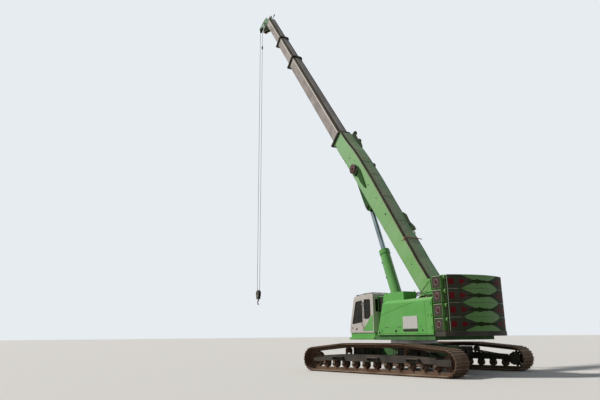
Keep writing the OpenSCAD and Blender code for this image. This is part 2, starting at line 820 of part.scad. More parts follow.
module cab_shell() {
    in_y = cab_out_y - cab_w;
    color(pale) at_hinges() {
        cylinder(r = knuckle_r / 2, h = 190, center = true);
        for (end = [-1, 1]) translate([0, 0, end * 70]) {
            cylinder(r = knuckle_r, h = 50, center = true);
            translate([-80, -knuckle_r, -25]) cube([80, 8, 50]);
        }
    }
    color(pale) difference() {
        plate_xz(in_y, cab_w) cab_outline(0);
        plate_xz(in_y + cab_t, cab_w - 2 * cab_t) cab_outline(cab_t);
        plate_xz(cab_out_y - cab_t - 5, cab_t + 10) door_outline(0);
        // Rear side window, rear window, right window
        plate_xz(cab_out_y - cab_t - 5, cab_t + 10) rear_side_window();
        span_box([cab_rear - 5, in_y + 130, 2500], [cab_rear + cab_t + 5, cab_out_y - 130, 3030]);
        plate_xz(in_y - 5, cab_t + 10) inner_window();
        // Windscreen
        plate_xz(in_y + 80, cab_w - 160) polygon([
            [cab_rear + cab_roof_l - 60, 3040], [cab_rear + cab_roof_l + 140, 3040],
            [cab_rear + cab_l + 40, 2080], [cab_rear + cab_l - 170, 2080]
        ]);
    }
}

module cab_glass() {
    in_y = cab_out_y - cab_w;
    color("#8fa5a8", 0.5) {
        plate_xz(cab_out_y - cab_t / 2 - 6, 12) rear_side_window();
        plate_xz(in_y + cab_t / 2 - 6, 12) inner_window();
        span_box([cab_rear + cab_t / 2 - 6, in_y + 130, 2500], [cab_rear + cab_t / 2 + 6, cab_out_y - 130, 3030]);
    }
}

module cab_door() {
    color(pale) difference() {
        plate_xz(cab_out_y - cab_t, cab_t) door_outline(8);
        plate_xz(cab_out_y - cab_t - 5, cab_t + 10) door_window();
    }
    color(pale) at_hinges() difference() {
        union() {
            cylinder(r = knuckle_r, h = 88, center = true);
            translate([0, -knuckle_r, -44]) cube([80, 8, 88]);
        }
        cylinder(r = knuckle_r / 2 + pin_gap, h = 100, center = true);
    }
}

module cab_door_glass() {
    color("#8fa5a8", 0.5) plate_xz(cab_out_y - cab_t / 2 - 6, 12)
        door_window();
}

module cab_seat() {
    mid_y = cab_out_y - cab_w / 2;
    color(dark) {
        translate([1450, mid_y - 90, cab_z + cab_t]) cube([300, 180, 260]);
        translate([1330, mid_y - 240, cab_z + cab_t + 250]) cube([520, 480, 130]);
        translate([1290, mid_y - 230, cab_z + cab_t + 370]) rotate([0, -10, 0]) cube([120, 460, 720]);
    }
}

module cab_platform() {
    color(green) {
        span_box([deck_front, hood_in_y, deck_z + 10], [cab_rear + cab_l + 60, cab_out_y + 20, deck_z + 110]);
        span_box([deck_front, hood_in_y + 40, deck_z + 110], [cab_rear + cab_l - 40, cab_out_y - 30, cab_z]);
    }
}

module handrails() {
    color(green) for (y = [-hood_in_y - 60, -upper_half_w + 190]) {
        for (x = [-2600, -1600, -600]) translate([x, y, hood_top_z]) cylinder(r = 20, h = 520);
        translate([-2600, y, hood_top_z + 520]) rotate([0, 90, 0]) cylinder(r = 20, h = 2000);
    }
}

// Lifting cylinder

module lift_barrel() {
    color(green) in_cylinder() difference() {
        union() {
            translate([barrel_start, 0, 0]) rotate([0, 90, 0])
                cylinder(r = barrel_r, h = barrel_l - barrel_start);
            across(150, 2 * foot_eye_half);
            translate([0, -110, -110]) cube([barrel_start + 20, 220, 220]);
            translate([barrel_l - 220, 0, 0]) rotate([0, 90, 0]) cylinder(r = barrel_r + 25, h = 220);
        }
        translate([barrel_start + 90, 0, 0]) rotate([0, 90, 0])
            cylinder(r = rod_r + 50, h = barrel_l - barrel_start - 290);
        translate([barrel_l - 210, 0, 0]) rotate([0, 90, 0]) cylinder(r = rod_r + pin_gap, h = 220);
        across(cyl_pin_r + pin_gap, 400);
    }
}

module lift_rod() {
    color(grey) in_cylinder() difference() {
        union() {
            translate([cyl_l - rod_l, 0, 0]) rotate([0, 90, 0]) cylinder(r = rod_r, h = rod_l - 100);
            translate([cyl_l, 0, 0]) across(150, 2 * rod_eye_half);
        }
        translate([cyl_l, 0, 0]) across(cyl_pin_r + pin_gap, 400);
    }
}

// Boom

module boom_base() {
    size = boom_sizes[0];
    color(green) in_boom() {
        section_tube(size, 500, base_l - 20);
        section_collar(size, boom_sizes[1], base_l);
        plate_xz(-size[0] / 2 + 8, size[0] - 16)
            polygon([for (p = base_back) [p[0], boom_mid + size[1] / 2 + p[1]]]);
        difference() {
            union() {
                // Closed foot that narrows to the pivot
                plate_xz(-size[0] / 2 + 20, size[0] - 40) polygon([
                    [-190, -150], [-190, 150], [0, 250], [500, boom_mid + size[1] / 2 - 20],
                    [520, boom_mid + size[1] / 2 - 20], [520, boom_mid - size[1] / 2 + 20],
                    [500, boom_mid - size[1] / 2 + 20], [0, -240]
                ]);
                across(250, 2 * (plate_y - pin_gap));
            }
            across(boom_pin_r + pin_gap, 2 * plate_y + 100);
        }
    }
}

module lift_bracket() {
    color(dark_green) in_boom() {
        difference() {
            for (side = [-1, 1]) plate_xz(side * 190 - 20, 40) rounded([
                [eye_u - 330, -base_under + 100, 0], [eye_u - 300, -eye_v - 40, 40],
                [eye_u - 150, -eye_v - 140, 80], [eye_u + 190, -eye_v - 140, 120],
                [eye_u + 1000, -base_under - 155, 200], [eye_u + 1960, -base_under + 60, 0],
                [eye_u + 1960, -base_under + 100, 0]
            ]);
            along_boom(eye_u - 400, eye_u + 2500) section_outline(boom_sizes[0], pin_gap, $fn = 180);
        }
        translate([eye_u, 0, -eye_v]) across(cyl_pin_r, 480);
    }
}

module hose_reel() {
    size = boom_sizes[0];
    color(rust) in_boom() translate([reel_u, size[0] / 2 + 90, reel_v]) {
        for (side = [-1, 1]) translate([0, side * 50, 0]) across(reel_r, 20);
        across(reel_r - 40, 90);
        across(60, 180);
    }
}

module boom_section_1() {
    color(grey) in_boom() {
        section_tube(boom_sizes[1], boom_1_end - section_l, boom_1_end - 20);
        section_collar(boom_sizes[1], boom_sizes[2], boom_1_end);
    }
}

module boom_section_2() {
    color(grey) in_boom() {
        section_tube(boom_sizes[2], boom_2_end - section_l, boom_2_end - 20);
        section_collar(boom_sizes[2], boom_sizes[3], boom_2_end);
    }
}

module boom_section_3() {
    color(grey) in_boom() section_tube(boom_sizes[3], boom_3_end - section_l - 400, boom_3_end);
}

// Plate of the fork: it runs through the head's box and down to the hoist sheave
module arm_outline() {
    rounded([
        [boom_3_end, -240, 0], [boom_3_end, head_top_v - 20, 0],
        [boom_3_end + head_l - 40, head_front_v - 6, 0], [boom_3_end + head_l + 560, -60, 60],
        [boom_3_end + head_l + 820, -440, 0], [sheave_u + 240, sheave_v + 30, 0],
        [sheave_u + 220, sheave_v - 100, 90], [sheave_u - 110, sheave_v - 100, 90],
        [sheave_u - 110, sheave_v + 330, 0], [boom_3_end + head_l + 410, -230, 0],
        [boom_3_end + head_l + 40, -200, 0]
    ]);
}

// Side plate of the head's box, with the bore for a jib's pin
module head_side_outline() {
    rounded([
        [boom_3_end, -240, 0], [boom_3_end, head_top_v, 0], [boom_3_end + head_l, head_front_v, 30],
        [boom_3_end + head_l, -180, 60]
    ]);
}

// Plate of the hanger under the box that carries the guide sheaves
module hanger_outline() {
    rounded([
        [boom_3_end - 500, root_v - 25, 0], [boom_3_end, root_v - 25, 0], [boom_3_end, root_v + 40, 0],
        [boom_3_end + 620, root_v + 40, 0], [boom_3_end + guide_l + 130, -guide_drop - 100, 80],
        [boom_3_end + guide_l - 130, -guide_drop - 100, 80]
    ]);
}

module boom_head() {
    size = boom_sizes[3];
    color(green) in_boom() {
        along_boom(boom_3_end, boom_3_end + 40) section_outline(size, 10);
        difference() {
            for (side = [-1, 1]) {
                plate_xz(side * arm_y - arm_t / 2, arm_t) arm_outline();
                plate_xz(side * head_y - head_t / 2, head_t) head_side_outline();
            }
            translate([sheave_u, 0, sheave_v]) across(sheave_pin_r + pin_gap, 600);
            translate([boom_3_end + 300, 0, 100]) across(jib_pin_r, 700);
        }
        difference() {
            for (side = [-1, 1]) plate_xz(side * hanger_y - hanger_t / 2, hanger_t) hanger_outline();
            translate([boom_3_end + guide_l, 0, -guide_drop]) across(sheave_pin_r + pin_gap, 600);
        }
        // Top of the box, its two cross plates, and the bars between the fork's and the hanger's plates
        plate_xz(-head_y, 2 * head_y) polygon([
            [boom_3_end + 20, head_top_v - 12], [boom_3_end + head_l - 40, head_front_v + 9],
            [boom_3_end + head_l - 40, head_front_v - 21], [boom_3_end + 20, head_top_v - 42]
        ]);
        for (x = [430, head_l - 40]) translate([boom_3_end + x, -head_y, -150])
            cube([20, 2 * head_y, head_front_v + 140]);
        translate([boom_3_end + head_l + 700, 0, -560]) across(40, 2 * arm_y);
        translate([boom_3_end + guide_l, 0, -460]) across(40, 2 * hanger_y);
    }
}

// Sheaves side by side on one axle
module sheave_row(u, v, count, pin_y) {
    color(rust) in_boom() translate([u, 0, v]) {
        for (k = [0 : count - 1]) translate([0, (k - (count - 1) / 2) * (sheave_w + 20), 0]) sheave();
        across(sheave_pin_r, 2 * pin_y);
    }
}

module head_sheave() {
    sheave_row(sheave_u, sheave_v, 1, arm_y + 40);
}

module guide_sheaves() {
    sheave_row(boom_3_end + guide_l, -guide_drop, guide_count, hanger_y + 20);
}

// Grooved rope wheel lying along Y
module sheave() {
    groove_r = rope_d / 2 + pin_gap;
    rotate([90, 0, 0]) rotate_extrude() difference() {
        polygon([
            [0, -sheave_w / 2], [90, -sheave_w / 2], [100, -12], [sheave_r - 70, -12],
            [sheave_r - 50, -sheave_w / 2], [sheave_r, -sheave_w / 2],
            [sheave_r, sheave_w / 2], [sheave_r - 50, sheave_w / 2], [sheave_r - 70, 12],
            [100, 12], [90, sheave_w / 2], [0, sheave_w / 2]
        ]);
        translate([fall_r, 0]) circle(r = groove_r);
        polygon([[fall_r, -groove_r], [sheave_r + 1, -groove_r - 8],
            [sheave_r + 1, groove_r + 8], [fall_r, groove_r]]);
    }
}

// Two straight falls from the head's sheave to the block's sheave
module hoist_rope() {
    color(dark) for (side = [-1, 1])
        translate([rope_x + side * fall_r, 0, block_z + 20])
            cylinder(r = rope_d / 2, h = rope_z - block_z - 40);
}

module hook_block() {
    color(dark) translate([rope_x, 0, block_z]) {
        for (side = [-1, 1]) difference() {
            plate_xz(side * 75 - 15, 30) polygon([
                [-200, 180], [200, 180], [300, 0], [170, -440], [-170, -440], [-300, 0]
            ]);
            across(45 + pin_gap, 300);
        }
        difference() {
            translate([-150, -60, -430]) cube([300, 120, 80]);
            translate([0, 0, -440]) cylinder(r = 40 + pin_gap, h = 200);
        }
    }
}

module block_sheave() {
    color(rust) translate([rope_x, 0, block_z]) {
        sheave();
        across(45, 190);
    }
}

module hook() {
    color(rust) translate([rope_x, 0, block_z]) {
        translate([0, 0, -560]) cylinder(r = 40, h = 230);
        translate([0, 0, -350 + pin_gap]) cylinder(r = 55, h = 50);
        translate([0, 0, -560 - hook_r - 35]) rotate([90, 0, 0]) rotate([0, 0, -130])
            rotate_extrude(angle = 250) translate([hook_r + 35, 0]) circle(r = 35);
    }
}

car_body();
cross_beams();
track_frame(1);  // track_frame_left
track_frame(-1);  // track_frame_right
under() track(side_y);  // track_left
under() track(-side_y);  // track_right
sprockets();
idlers();
track_rollers();
slew_ring();
upper_frame();
boom_pin();
hood_left();
hood_right();
front_box();
engine();
counterweight_tray();
slab(0);  // counterweight_slab_1
slab(1);  // counterweight_slab_2
slab(2);  // counterweight_slab_3
slab(3);  // counterweight_slab_4
winch_frame();
winch_drum();
cab_platform();
cab_shell();
cab_glass();
cab_seat();
cab_door();
cab_door_glass();
handrails();
lift_barrel();
lift_rod();
boom_base();
lift_bracket();
hose_reel();
boom_section_1();
boom_section_2();
boom_section_3();
boom_head();
head_sheave();
guide_sheaves();
hoist_rope();
hook_block();
block_sheave();
hook();
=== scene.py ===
# Telescopic crawler crane: the finish and the small parts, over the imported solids.
# Metres; X forward along the boom, Y to the operator's left, Z up, ground at zero.
import bmesh
import bpy
from math import cos, pi, radians, sin
from mathutils import Matrix, Vector


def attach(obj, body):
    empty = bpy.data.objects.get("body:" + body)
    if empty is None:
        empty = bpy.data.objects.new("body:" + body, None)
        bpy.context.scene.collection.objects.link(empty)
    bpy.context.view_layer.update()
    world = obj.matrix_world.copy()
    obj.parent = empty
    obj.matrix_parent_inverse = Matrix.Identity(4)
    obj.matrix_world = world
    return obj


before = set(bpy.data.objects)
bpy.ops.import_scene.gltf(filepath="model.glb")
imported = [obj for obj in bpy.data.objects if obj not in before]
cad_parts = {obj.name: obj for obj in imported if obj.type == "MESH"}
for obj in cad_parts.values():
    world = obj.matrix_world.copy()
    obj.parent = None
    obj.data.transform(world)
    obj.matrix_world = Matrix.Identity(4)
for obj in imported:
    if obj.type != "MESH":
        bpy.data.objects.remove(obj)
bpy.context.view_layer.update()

# Camera: stands on the ground behind the crane's left rear corner and looks up at it,
# as the photograph was taken. Its lens is given for a sensor 36 mm wide.
EYE = Vector((-18.706, 14.852, 1.478))
HEADING = radians(-26.606)
PITCH = radians(14.666)
ROLL = radians(-0.494)
FOCAL_PX = 519.1
FRAME_W = 600
SENSOR_MM = 36

ahead = Vector((cos(PITCH) * cos(HEADING), cos(PITCH) * sin(HEADING), sin(PITCH)))
flat_right = Vector((sin(HEADING), -cos(HEADING), 0))
flat_up = flat_right.cross(ahead)
right = flat_right * cos(ROLL) + flat_up * sin(ROLL)
up = flat_up * cos(ROLL) - flat_right * sin(ROLL)
bpy.ops.object.camera_add()
camera = bpy.context.object
camera.name = "photo_camera"
camera.data.sensor_width = SENSOR_MM
camera.data.lens = FOCAL_PX / FRAME_W * SENSOR_MM
camera.data.clip_end = 2000
camera.matrix_world = Matrix((
    (right.x, up.x, -ahead.x, EYE.x),
    (right.y, up.y, -ahead.y, EYE.y),
    (right.z, up.z, -ahead.z, EYE.z),
    (0, 0, 0, 1)))
bpy.context.scene.camera = camera

# Floor and light: a pale floor that runs to the horizon, a high lamp from the crane's front
# left and a faint even fill. The pale sky shows to the camera, through glass and in what
# shines, and lights nothing else.
FLOOR_SIZE = 900
FLOOR_COLOUR = (0.80, 0.78, 0.75, 1)
FLOOR_BOUNCE = (0.26, 0.24, 0.21, 1)
SKY_COLOUR = (0.80, 0.84, 0.88, 1)
FILL_COLOUR = (0.86, 0.92, 1.0, 1)
FILL_STRENGTH = 0.17
LAMP_STRENGTH = 2.95
LAMP_WAY = Vector((-0.42, -0.66, -0.72))


def math_node(tree, operation, first, second):
    """The result of one sum on two values or sockets."""
    step = tree.nodes.new("ShaderNodeMath")
    step.operation = operation
    for place, value in enumerate((first, second)):
        if isinstance(value, (int, float)):
            step.inputs[place].default_value = value
        else:
            tree.links.new(value, step.inputs[place])
    return step.outputs[0]


def mix_colours(tree, share, first, second):
    """One colour passing into another as the share goes from 0 to 1."""
    mixer = tree.nodes.new("ShaderNodeMix")
    mixer.data_type = "RGBA"
    tree.links.new(share, mixer.inputs[0])
    for place, value in ((6, first), (7, second)):
        if isinstance(value, tuple):
            mixer.inputs[place].default_value = value
        else:
            tree.links.new(value, mixer.inputs[place])
    return mixer.outputs[2]


bpy.ops.object.select_all(action="DESELECT")
bpy.ops.mesh.primitive_plane_add(size=FLOOR_SIZE, location=(0, 0, -0.002))
floor = bpy.context.object
floor.name = "floor"
floor_finish = bpy.data.materials.new("pale_floor")
floor_finish.use_nodes = True
floor_tree = floor_finish.node_tree
floor_shader = floor_tree.nodes["Principled BSDF"]
floor_rays = floor_tree.nodes.new("ShaderNodeLightPath")
floor_tree.links.new(mix_colours(floor_tree, floor_rays.outputs["Is Camera Ray"], FLOOR_BOUNCE, FLOOR_COLOUR),
                     floor_shader.inputs["Base Color"])
floor_shader.inputs["Roughness"].default_value = 0.9
floor.data.materials.append(floor_finish)

bpy.ops.object.light_add(type="SUN", location=(5, 20, 30))
lamp_sun = bpy.context.object
lamp_sun.name = "soft_sun"
lamp_sun.data.energy = LAMP_STRENGTH
lamp_sun.data.angle = radians(5)
lamp_sun.data.color = (1.0, 0.97, 0.92)
lamp_sun.rotation_euler = LAMP_WAY.to_track_quat("-Z", "Y").to_euler()

world = bpy.context.scene.world or bpy.data.worlds.new("studio")
bpy.context.scene.world = world
world.use_nodes = True
sky = world.node_tree
sky.nodes.clear()
backgrounds = []
for sky_colour, strength in ((FILL_COLOUR, FILL_STRENGTH), (SKY_COLOUR, 1.0)):
    background = sky.nodes.new("ShaderNodeBackground")
    background.inputs["Color"].default_value = sky_colour
    background.inputs["Strength"].default_value = strength
    backgrounds.append(background)
rays = sky.nodes.new("ShaderNodeLightPath")
straight = math_node(sky, "MAXIMUM", rays.outputs["Is Camera Ray"], rays.outputs["Is Transmission Ray"])
choose = sky.nodes.new("ShaderNodeMixShader")
sky.links.new(math_node(sky, "MAXIMUM", straight, rays.outputs["Is Glossy Ray"]), choose.inputs["Fac"])
for place, background in enumerate(backgrounds):
    sky.links.new(background.outputs[0], choose.inputs[place + 1])
sky.links.new(choose.outputs[0], sky.nodes.new("ShaderNodeOutputWorld").inputs["Surface"])
bpy.context.scene.view_settings.view_transform = "Standard"

# Weathered paint: gloss paint over primed steel that has faded in cloudy patches, with
# dust on what faces up, and dark runs and specks down its sides.
DUST = (0.46, 0.38, 0.29, 1)
DIRT = (0.035, 0.028, 0.022, 1)


def ramp(tree, value, low, high):
    """A value that goes from 0 to 1 between two limits."""
    reach = tree.nodes.new("ShaderNodeMapRange")
    reach.clamp = True
    tree.links.new(value, reach.inputs["Value"])
    reach.inputs["From Min"].default_value = low
    reach.inputs["From Max"].default_value = high
    return reach.outputs[0]


def noise(tree, vector, scale, detail, stretch=None):
    """A cloudy pattern, drawn out along an axis if a stretch is given."""
    if stretch is not None:
        squeeze = tree.nodes.new("ShaderNodeMapping")
        squeeze.inputs["Scale"].default_value = stretch
        tree.links.new(vector, squeeze.inputs["Vector"])
        vector = squeeze.outputs[0]
    cloud = tree.nodes.new("ShaderNodeTexNoise")
    cloud.inputs["Scale"].default_value = scale
    cloud.inputs["Detail"].default_value = detail
    tree.links.new(vector, cloud.inputs["Vector"])
    return cloud.outputs["Fac"]


worn = bpy.data.node_groups.new("worn_finish", "ShaderNodeTree")
for name, kind, value in (
        ("Place", "Vector", None), ("Base", "Color", (0.2, 0.2, 0.2, 1)),
        ("Faded", "Color", (0.3, 0.3, 0.3, 1)), ("Dust", "Color", DUST), ("Stain", "Color", DIRT),
        ("Dust Amount", "Float", 0.4), ("Stain Amount", "Float", 0.3), ("Gloss", "Float", 0.4)):
    socket = worn.interface.new_socket(name=name, in_out="INPUT", socket_type="NodeSocket" + kind)
    if value is not None:
        socket.default_value = value
for name, kind in (("Color", "Color"), ("Roughness", "Float"), ("Height", "Float")):
    worn.interface.new_socket(name=name, in_out="OUTPUT", socket_type="NodeSocket" + kind)
given = worn.nodes.new("NodeGroupInput").outputs
result = worn.nodes.new("NodeGroupOutput").inputs
patches = ramp(worn, noise(worn, given["Place"], 0.9, 6.0), 0.35, 0.68)
grain = noise(worn, given["Place"], 26.0, 3.0)
runs = ramp(worn, noise(worn, given["Place"], 2.2, 5.0, (3.2, 3.2, 0.22)), 0.52, 0.74)
specks = ramp(worn, noise(worn, given["Place"], 11.0, 5.0), 0.60, 0.74)
facing = worn.nodes.new("ShaderNodeNewGeometry")
split = worn.nodes.new("ShaderNodeSeparateXYZ")
worn.links.new(facing.outputs["Normal"], split.inputs[0])
upward = ramp(worn, split.outputs["Z"], 0.25, 0.95)
settled = math_node(worn, "ADD", math_node(worn, "MULTIPLY", upward, 1.3), 0.32)
film = ramp(worn, noise(worn, given["Place"], 1.7, 7.0), 0.25, 0.8)
dusty = math_node(worn, "MULTIPLY", math_node(worn, "MULTIPLY", settled, film), given["Dust Amount"])
dusty = math_node(worn, "MINIMUM", dusty, 0.96)
dark = math_node(worn, "MAXIMUM", math_node(worn, "MULTIPLY", runs, 0.75),
                 math_node(worn, "MULTIPLY", specks, 0.8))
dark = math_node(worn, "MULTIPLY", dark, given["Stain Amount"])
colour = mix_colours(worn, patches, given["Base"], given["Faded"])
colour = mix_colours(worn, dark, colour, given["Stain"])
worn.links.new(mix_colours(worn, dusty, colour, given["Dust"]), result["Color"])
rough = math_node(worn, "ADD", given["Gloss"], math_node(worn, "MULTIPLY", dusty, 0.35))
rough = math_node(worn, "ADD", rough, math_node(worn, "MULTIPLY", grain, 0.12))
worn.links.new(math_node(worn, "MINIMUM", rough, 0.95), result["Roughness"])
worn.links.new(math_node(worn, "ADD", grain, math_node(worn, "MULTIPLY", specks, 0.6)), result["Height"])


def finish(name, base, faded, gloss, dust, stain, metal=0.0, coat=0.0, relief=0.05, turn=0.0, shine=0.2,
           bleached=None):
    """A material: worn_finish on the object's own coordinates, turned about Y by that angle.

    With bleached given, as (far colour, start, stop), the base colour changes to the far one
    along the turned X axis.
    """
    made = bpy.data.materials.new(name)
    made.use_nodes = True
    tree = made.node_tree
    shader = tree.nodes["Principled BSDF"].inputs
    where = tree.nodes.new("ShaderNodeTexCoord")
    turned = tree.nodes.new("ShaderNodeMapping")
    turned.inputs["Rotation"].default_value = (0, turn, 0)
    tree.links.new(where.outputs["Object"], turned.inputs["Vector"])
    wear = tree.nodes.new("ShaderNodeGroup")
    wear.node_tree = worn
    tree.links.new(turned.outputs[0], wear.inputs["Place"])
    for socket, value in (("Base", (*base, 1)), ("Faded", (*faded, 1)), ("Dust", DUST), ("Stain", DIRT),
                          ("Dust Amount", dust), ("Stain Amount", stain), ("Gloss", gloss)):
        wear.inputs[socket].default_value = value
    if bleached is not None:
        far, start, stop = bleached
        along = tree.nodes.new("ShaderNodeSeparateXYZ")
        tree.links.new(turned.outputs[0], along.inputs[0])
        tree.links.new(mix_colours(tree, ramp(tree, along.outputs["X"], start, stop), (*base, 1), (*far, 1)),
                       wear.inputs["Base"])
    tree.links.new(wear.outputs["Color"], shader["Base Color"])
    tree.links.new(wear.outputs["Roughness"], shader["Roughness"])
    for socket, value in (("Metallic", metal), ("Specular IOR Level", shine), ("Coat Weight", coat),
                          ("Coat Roughness", 0.12)):
        shader[socket].default_value = value
    bump = tree.nodes.new("ShaderNodeBump")
    bump.inputs["Strength"].default_value = relief
    bump.inputs["Distance"].default_value = 0.01
    tree.links.new(wear.outputs["Height"], bump.inputs["Height"])
    tree.links.new(bump.outputs[0], shader["Normal"])
    return made


def dress(material, *names):
    """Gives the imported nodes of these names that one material."""
    for name in names:
        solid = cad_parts[name]
        solid.data.materials.clear()
        solid.data.materials.append(material)


# Tracks: cast shoes on chains that run over cast sprockets, idlers and rollers, brown with
# rust and dust. The welded frames are painted dark and slide on the cross beams; step plates
# and roller caps are bolted on them, and the drives are held by a ring of bolts.
GAUGE_HALF = 2.55
UNDER = Matrix.Rotation(radians(16), 4, "Z")
track_steel = finish("track_steel", (0.115, 0.055, 0.032), (0.20, 0.12, 0.08), 0.62, dust=0.75, stain=0.45,
                     metal=0.35, relief=0.3)
dark_steel = finish("dark_steel", (0.022, 0.022, 0.023), (0.05, 0.047, 0.044), 0.5, dust=0.65, stain=0.3)
bare_steel = finish("bare_steel", (0.45, 0.45, 0.44), (0.33, 0.32, 0.30), 0.28, dust=0.15, stain=0.35,
                    metal=1.0)
rubber = finish("rubber", (0.016, 0.016, 0.016), (0.03, 0.029, 0.028), 0.7, dust=0.4, stain=0.1, relief=0.1)
dress(track_steel, "track_left", "track_right", "sprockets", "idlers", "track_rollers")
dress(dark_steel, "cross_beams", "track_frame_left", "track_frame_right")


def only(*objects):
    """Selects just these objects, the last one active."""
    bpy.ops.object.select_all(action="DESELECT")
    for chosen in objects:
        chosen.select_set(True)
    bpy.context.view_layer.objects.active = objects[-1]


def freeze(obj):
    """Moves an object's place, turn and size into its mesh."""
    only(obj)
    bpy.ops.object.transform_apply(location=True, rotation=True, scale=True)
    return obj


def open_mesh(obj, kind="edges", wanted=None):
    """Opens a mesh for editing with all of it selected, or just what a test picks out."""
    only(obj)
    bpy.ops.object.mode_set(mode="EDIT")
    bpy.ops.mesh.select_all(action="SELECT" if wanted is None else "DESELECT")
    if wanted is not None:
        solid = bmesh.from_edit_mesh(obj.data)
        for item in getattr(solid, kind):
            item.select_set(bool(wanted(item)))
        bmesh.update_edit_mesh(obj.data)


def close_mesh(bevel=0.0, segments=2):
    """Bevels what is selected, if asked, and ends the editing."""
    if bevel:
        bpy.ops.mesh.bevel(offset=bevel, segments=segments, affect="EDGES")
    bpy.ops.object.mode_set(mode="OBJECT")


def block(corner, far_corner, edge=0.0, steps=2):
    """A cuboid between two corners with bevelled edges."""
    low, high = [Vector([pick(pair) for pair in zip(corner, far_corner)]) for pick in (min, max)]
    bpy.ops.object.select_all(action="DESELECT")
    bpy.ops.mesh.primitive_cube_add(size=1, location=(low + high) / 2)
    made = bpy.context.object
    made.scale = high - low
    freeze(made)
    if edge:
        open_mesh(made)
        close_mesh(edge, steps)
    return made


def way(rim):
    """The direction of a mesh edge."""
    return (rim.verts[1].co - rim.verts[0].co).normalized()


def bar(start, end, radius, sides=16, edge=0.0):
    """A round bar between two points, its end edges bevelled."""
    start = Vector(start)
    end = Vector(end)
    axis = (end - start).normalized()
    bpy.ops.object.select_all(action="DESELECT")
    bpy.ops.mesh.primitive_cone_add(
        vertices=sides, radius1=radius, radius2=radius, depth=(end - start).length, location=(start + end) / 2,
        rotation=(end - start).to_track_quat("Z", "Y").to_euler())
    made = freeze(bpy.context.object)
    if edge:
        open_mesh(made, "edges", lambda rim: abs(way(rim).dot(axis)) < 0.3)
        close_mesh(edge)
    bpy.ops.object.shade_smooth_by_angle(angle=radians(35))
    return made


def stud(x, z, near, far, radius, sides=16, edge=0.0):
    """A round bar that runs across, from one y to another."""
    return bar((x, near, z), (x, far, z), radius, sides, edge)


def hose(points, radius, sides=4, cyclic=False, smooth=True):
    """A hose or bent pipe along a list of points."""
    line = bpy.data.curves.new("hose", "CURVE")
    line.dimensions = "3D"
    line.bevel_depth = radius
    line.bevel_resolution = sides
    line.resolution_u = 8
    run = line.splines.new("NURBS" if smooth else "POLY")
    run.points.add(len(points) - 1)
    for knot, point in zip(run.points, points):
        knot.co = (*point, 1)
    run.use_cyclic_u = cyclic
    if smooth:
        run.order_u = min(4, len(points))
        run.use_endpoint_u = not cyclic
    line.use_fill_caps = True
    made = bpy.data.objects.new("hose", line)
    bpy.context.collection.objects.link(made)
    only(made)
    bpy.ops.object.convert(target="MESH")
    made = bpy.context.object
    bpy.ops.object.shade_smooth_by_angle(angle=radians(40))
    return made


def piece(name, body, material, parts, place=None):
    """Joins parts into one named piece with its origin at zero that rides on a body."""
    only(*parts)
    if len(parts) > 1:
        bpy.ops.object.join()
    made = bpy.context.object
    made.name = name
    made.data.name = name
    if place is not None:
        made.matrix_world = place @ made.matrix_world
    freeze(made)
    bpy.context.scene.cursor.location = (0, 0, 0)
    bpy.ops.object.origin_set(type="ORIGIN_CURSOR")
    made.data.materials.clear()
    made.data.materials.append(material)
    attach(made, body)
    return made


steps = []
drive_bolts = []
drive_hoses = []
for side in (-1, 1):
    outer = side * (GAUGE_HALF + 0.21)
    for x in (-1.9, 0.0, 1.9):
        steps.append(block((x - 0.28, outer, 0.60), (x + 0.28, outer + side * 0.16, 0.625), 0.006))
        foot_reach = 0.14 if side > 0 else -0.16
        for foot in (x - 0.27, x + 0.24):
            steps.append(block((foot, outer, 0.50), (foot + 0.03, outer + foot_reach, 0.602), 0.003))
    for number in range(11):
        x = -2.78 + number * 0.556
        steps.append(stud(x, 0.31, outer - side * 0.01, outer + side * 0.022, 0.05, 16, 0.006))
    y = side * (GAUGE_HALF - 0.36)
    for number in range(10):
        x = -3.33 + 0.20 * cos(number * pi / 5)
        z = 0.5 + 0.20 * sin(number * pi / 5)
        drive_bolts.append(stud(x, z, y, y - side * 0.02, 0.016, 6, 0.003))
    drive_hoses.append(hose([(-0.6, side * 0.5, 1.02), (-1.0, side * 1.3, 1.06), (-1.9, side * 1.9, 0.82),
                             (-2.9, side * 2.14, 0.66), (-3.2, side * 2.15, 0.60)], 0.025))
    drive_hoses.append(hose([(-0.7, side * 0.5, 1.01), (-1.1, side * 1.3, 1.04), (-2.0, side * 1.95, 0.76),
                             (-3.0, side * 2.14, 0.56), (-3.2, side * 2.15, 0.50)], 0.020))
piece("track_steps", "undercarriage", dark_steel, steps, UNDER)
piece("drive_bolts", "undercarriage", bare_steel, drive_bolts, UNDER)
piece("drive_hoses", "undercarriage", rubber, drive_hoses, UNDER)

# Car body: a welded box painted dark green, with a bare slewing ring bolted on it. A ladder
# of round bars under a plate is welded on each side, and four tie-down eyes lie at its ends.
dark_green_paint = finish("dark_green_paint", (0.035, 0.16, 0.04), (0.06, 0.22, 0.06), 0.42, dust=0.5,
                          stain=0.4)
dress(dark_green_paint, "car_body")
dress(bare_steel, "slew_ring")


def ring(at, radius, wire, sides=24, wire_sides=10, flat=False, smooth=True):
    """A round wire ring that stands across Y, or lies flat."""
    bpy.ops.object.select_all(action="DESELECT")
    bpy.ops.mesh.primitive_torus_add(major_segments=sides, minor_segments=wire_sides, major_radius=radius,
                                     minor_radius=wire, location=at, rotation=(0 if flat else pi / 2, 0, 0))
    if smooth:
        bpy.ops.object.shade_smooth()
    return freeze(bpy.context.object)


def post(x, y, low, high, radius, sides=16, edge=0.0):
    """An upright round bar."""
    return bar((x, y, low), (x, y, high), radius, sides, edge)


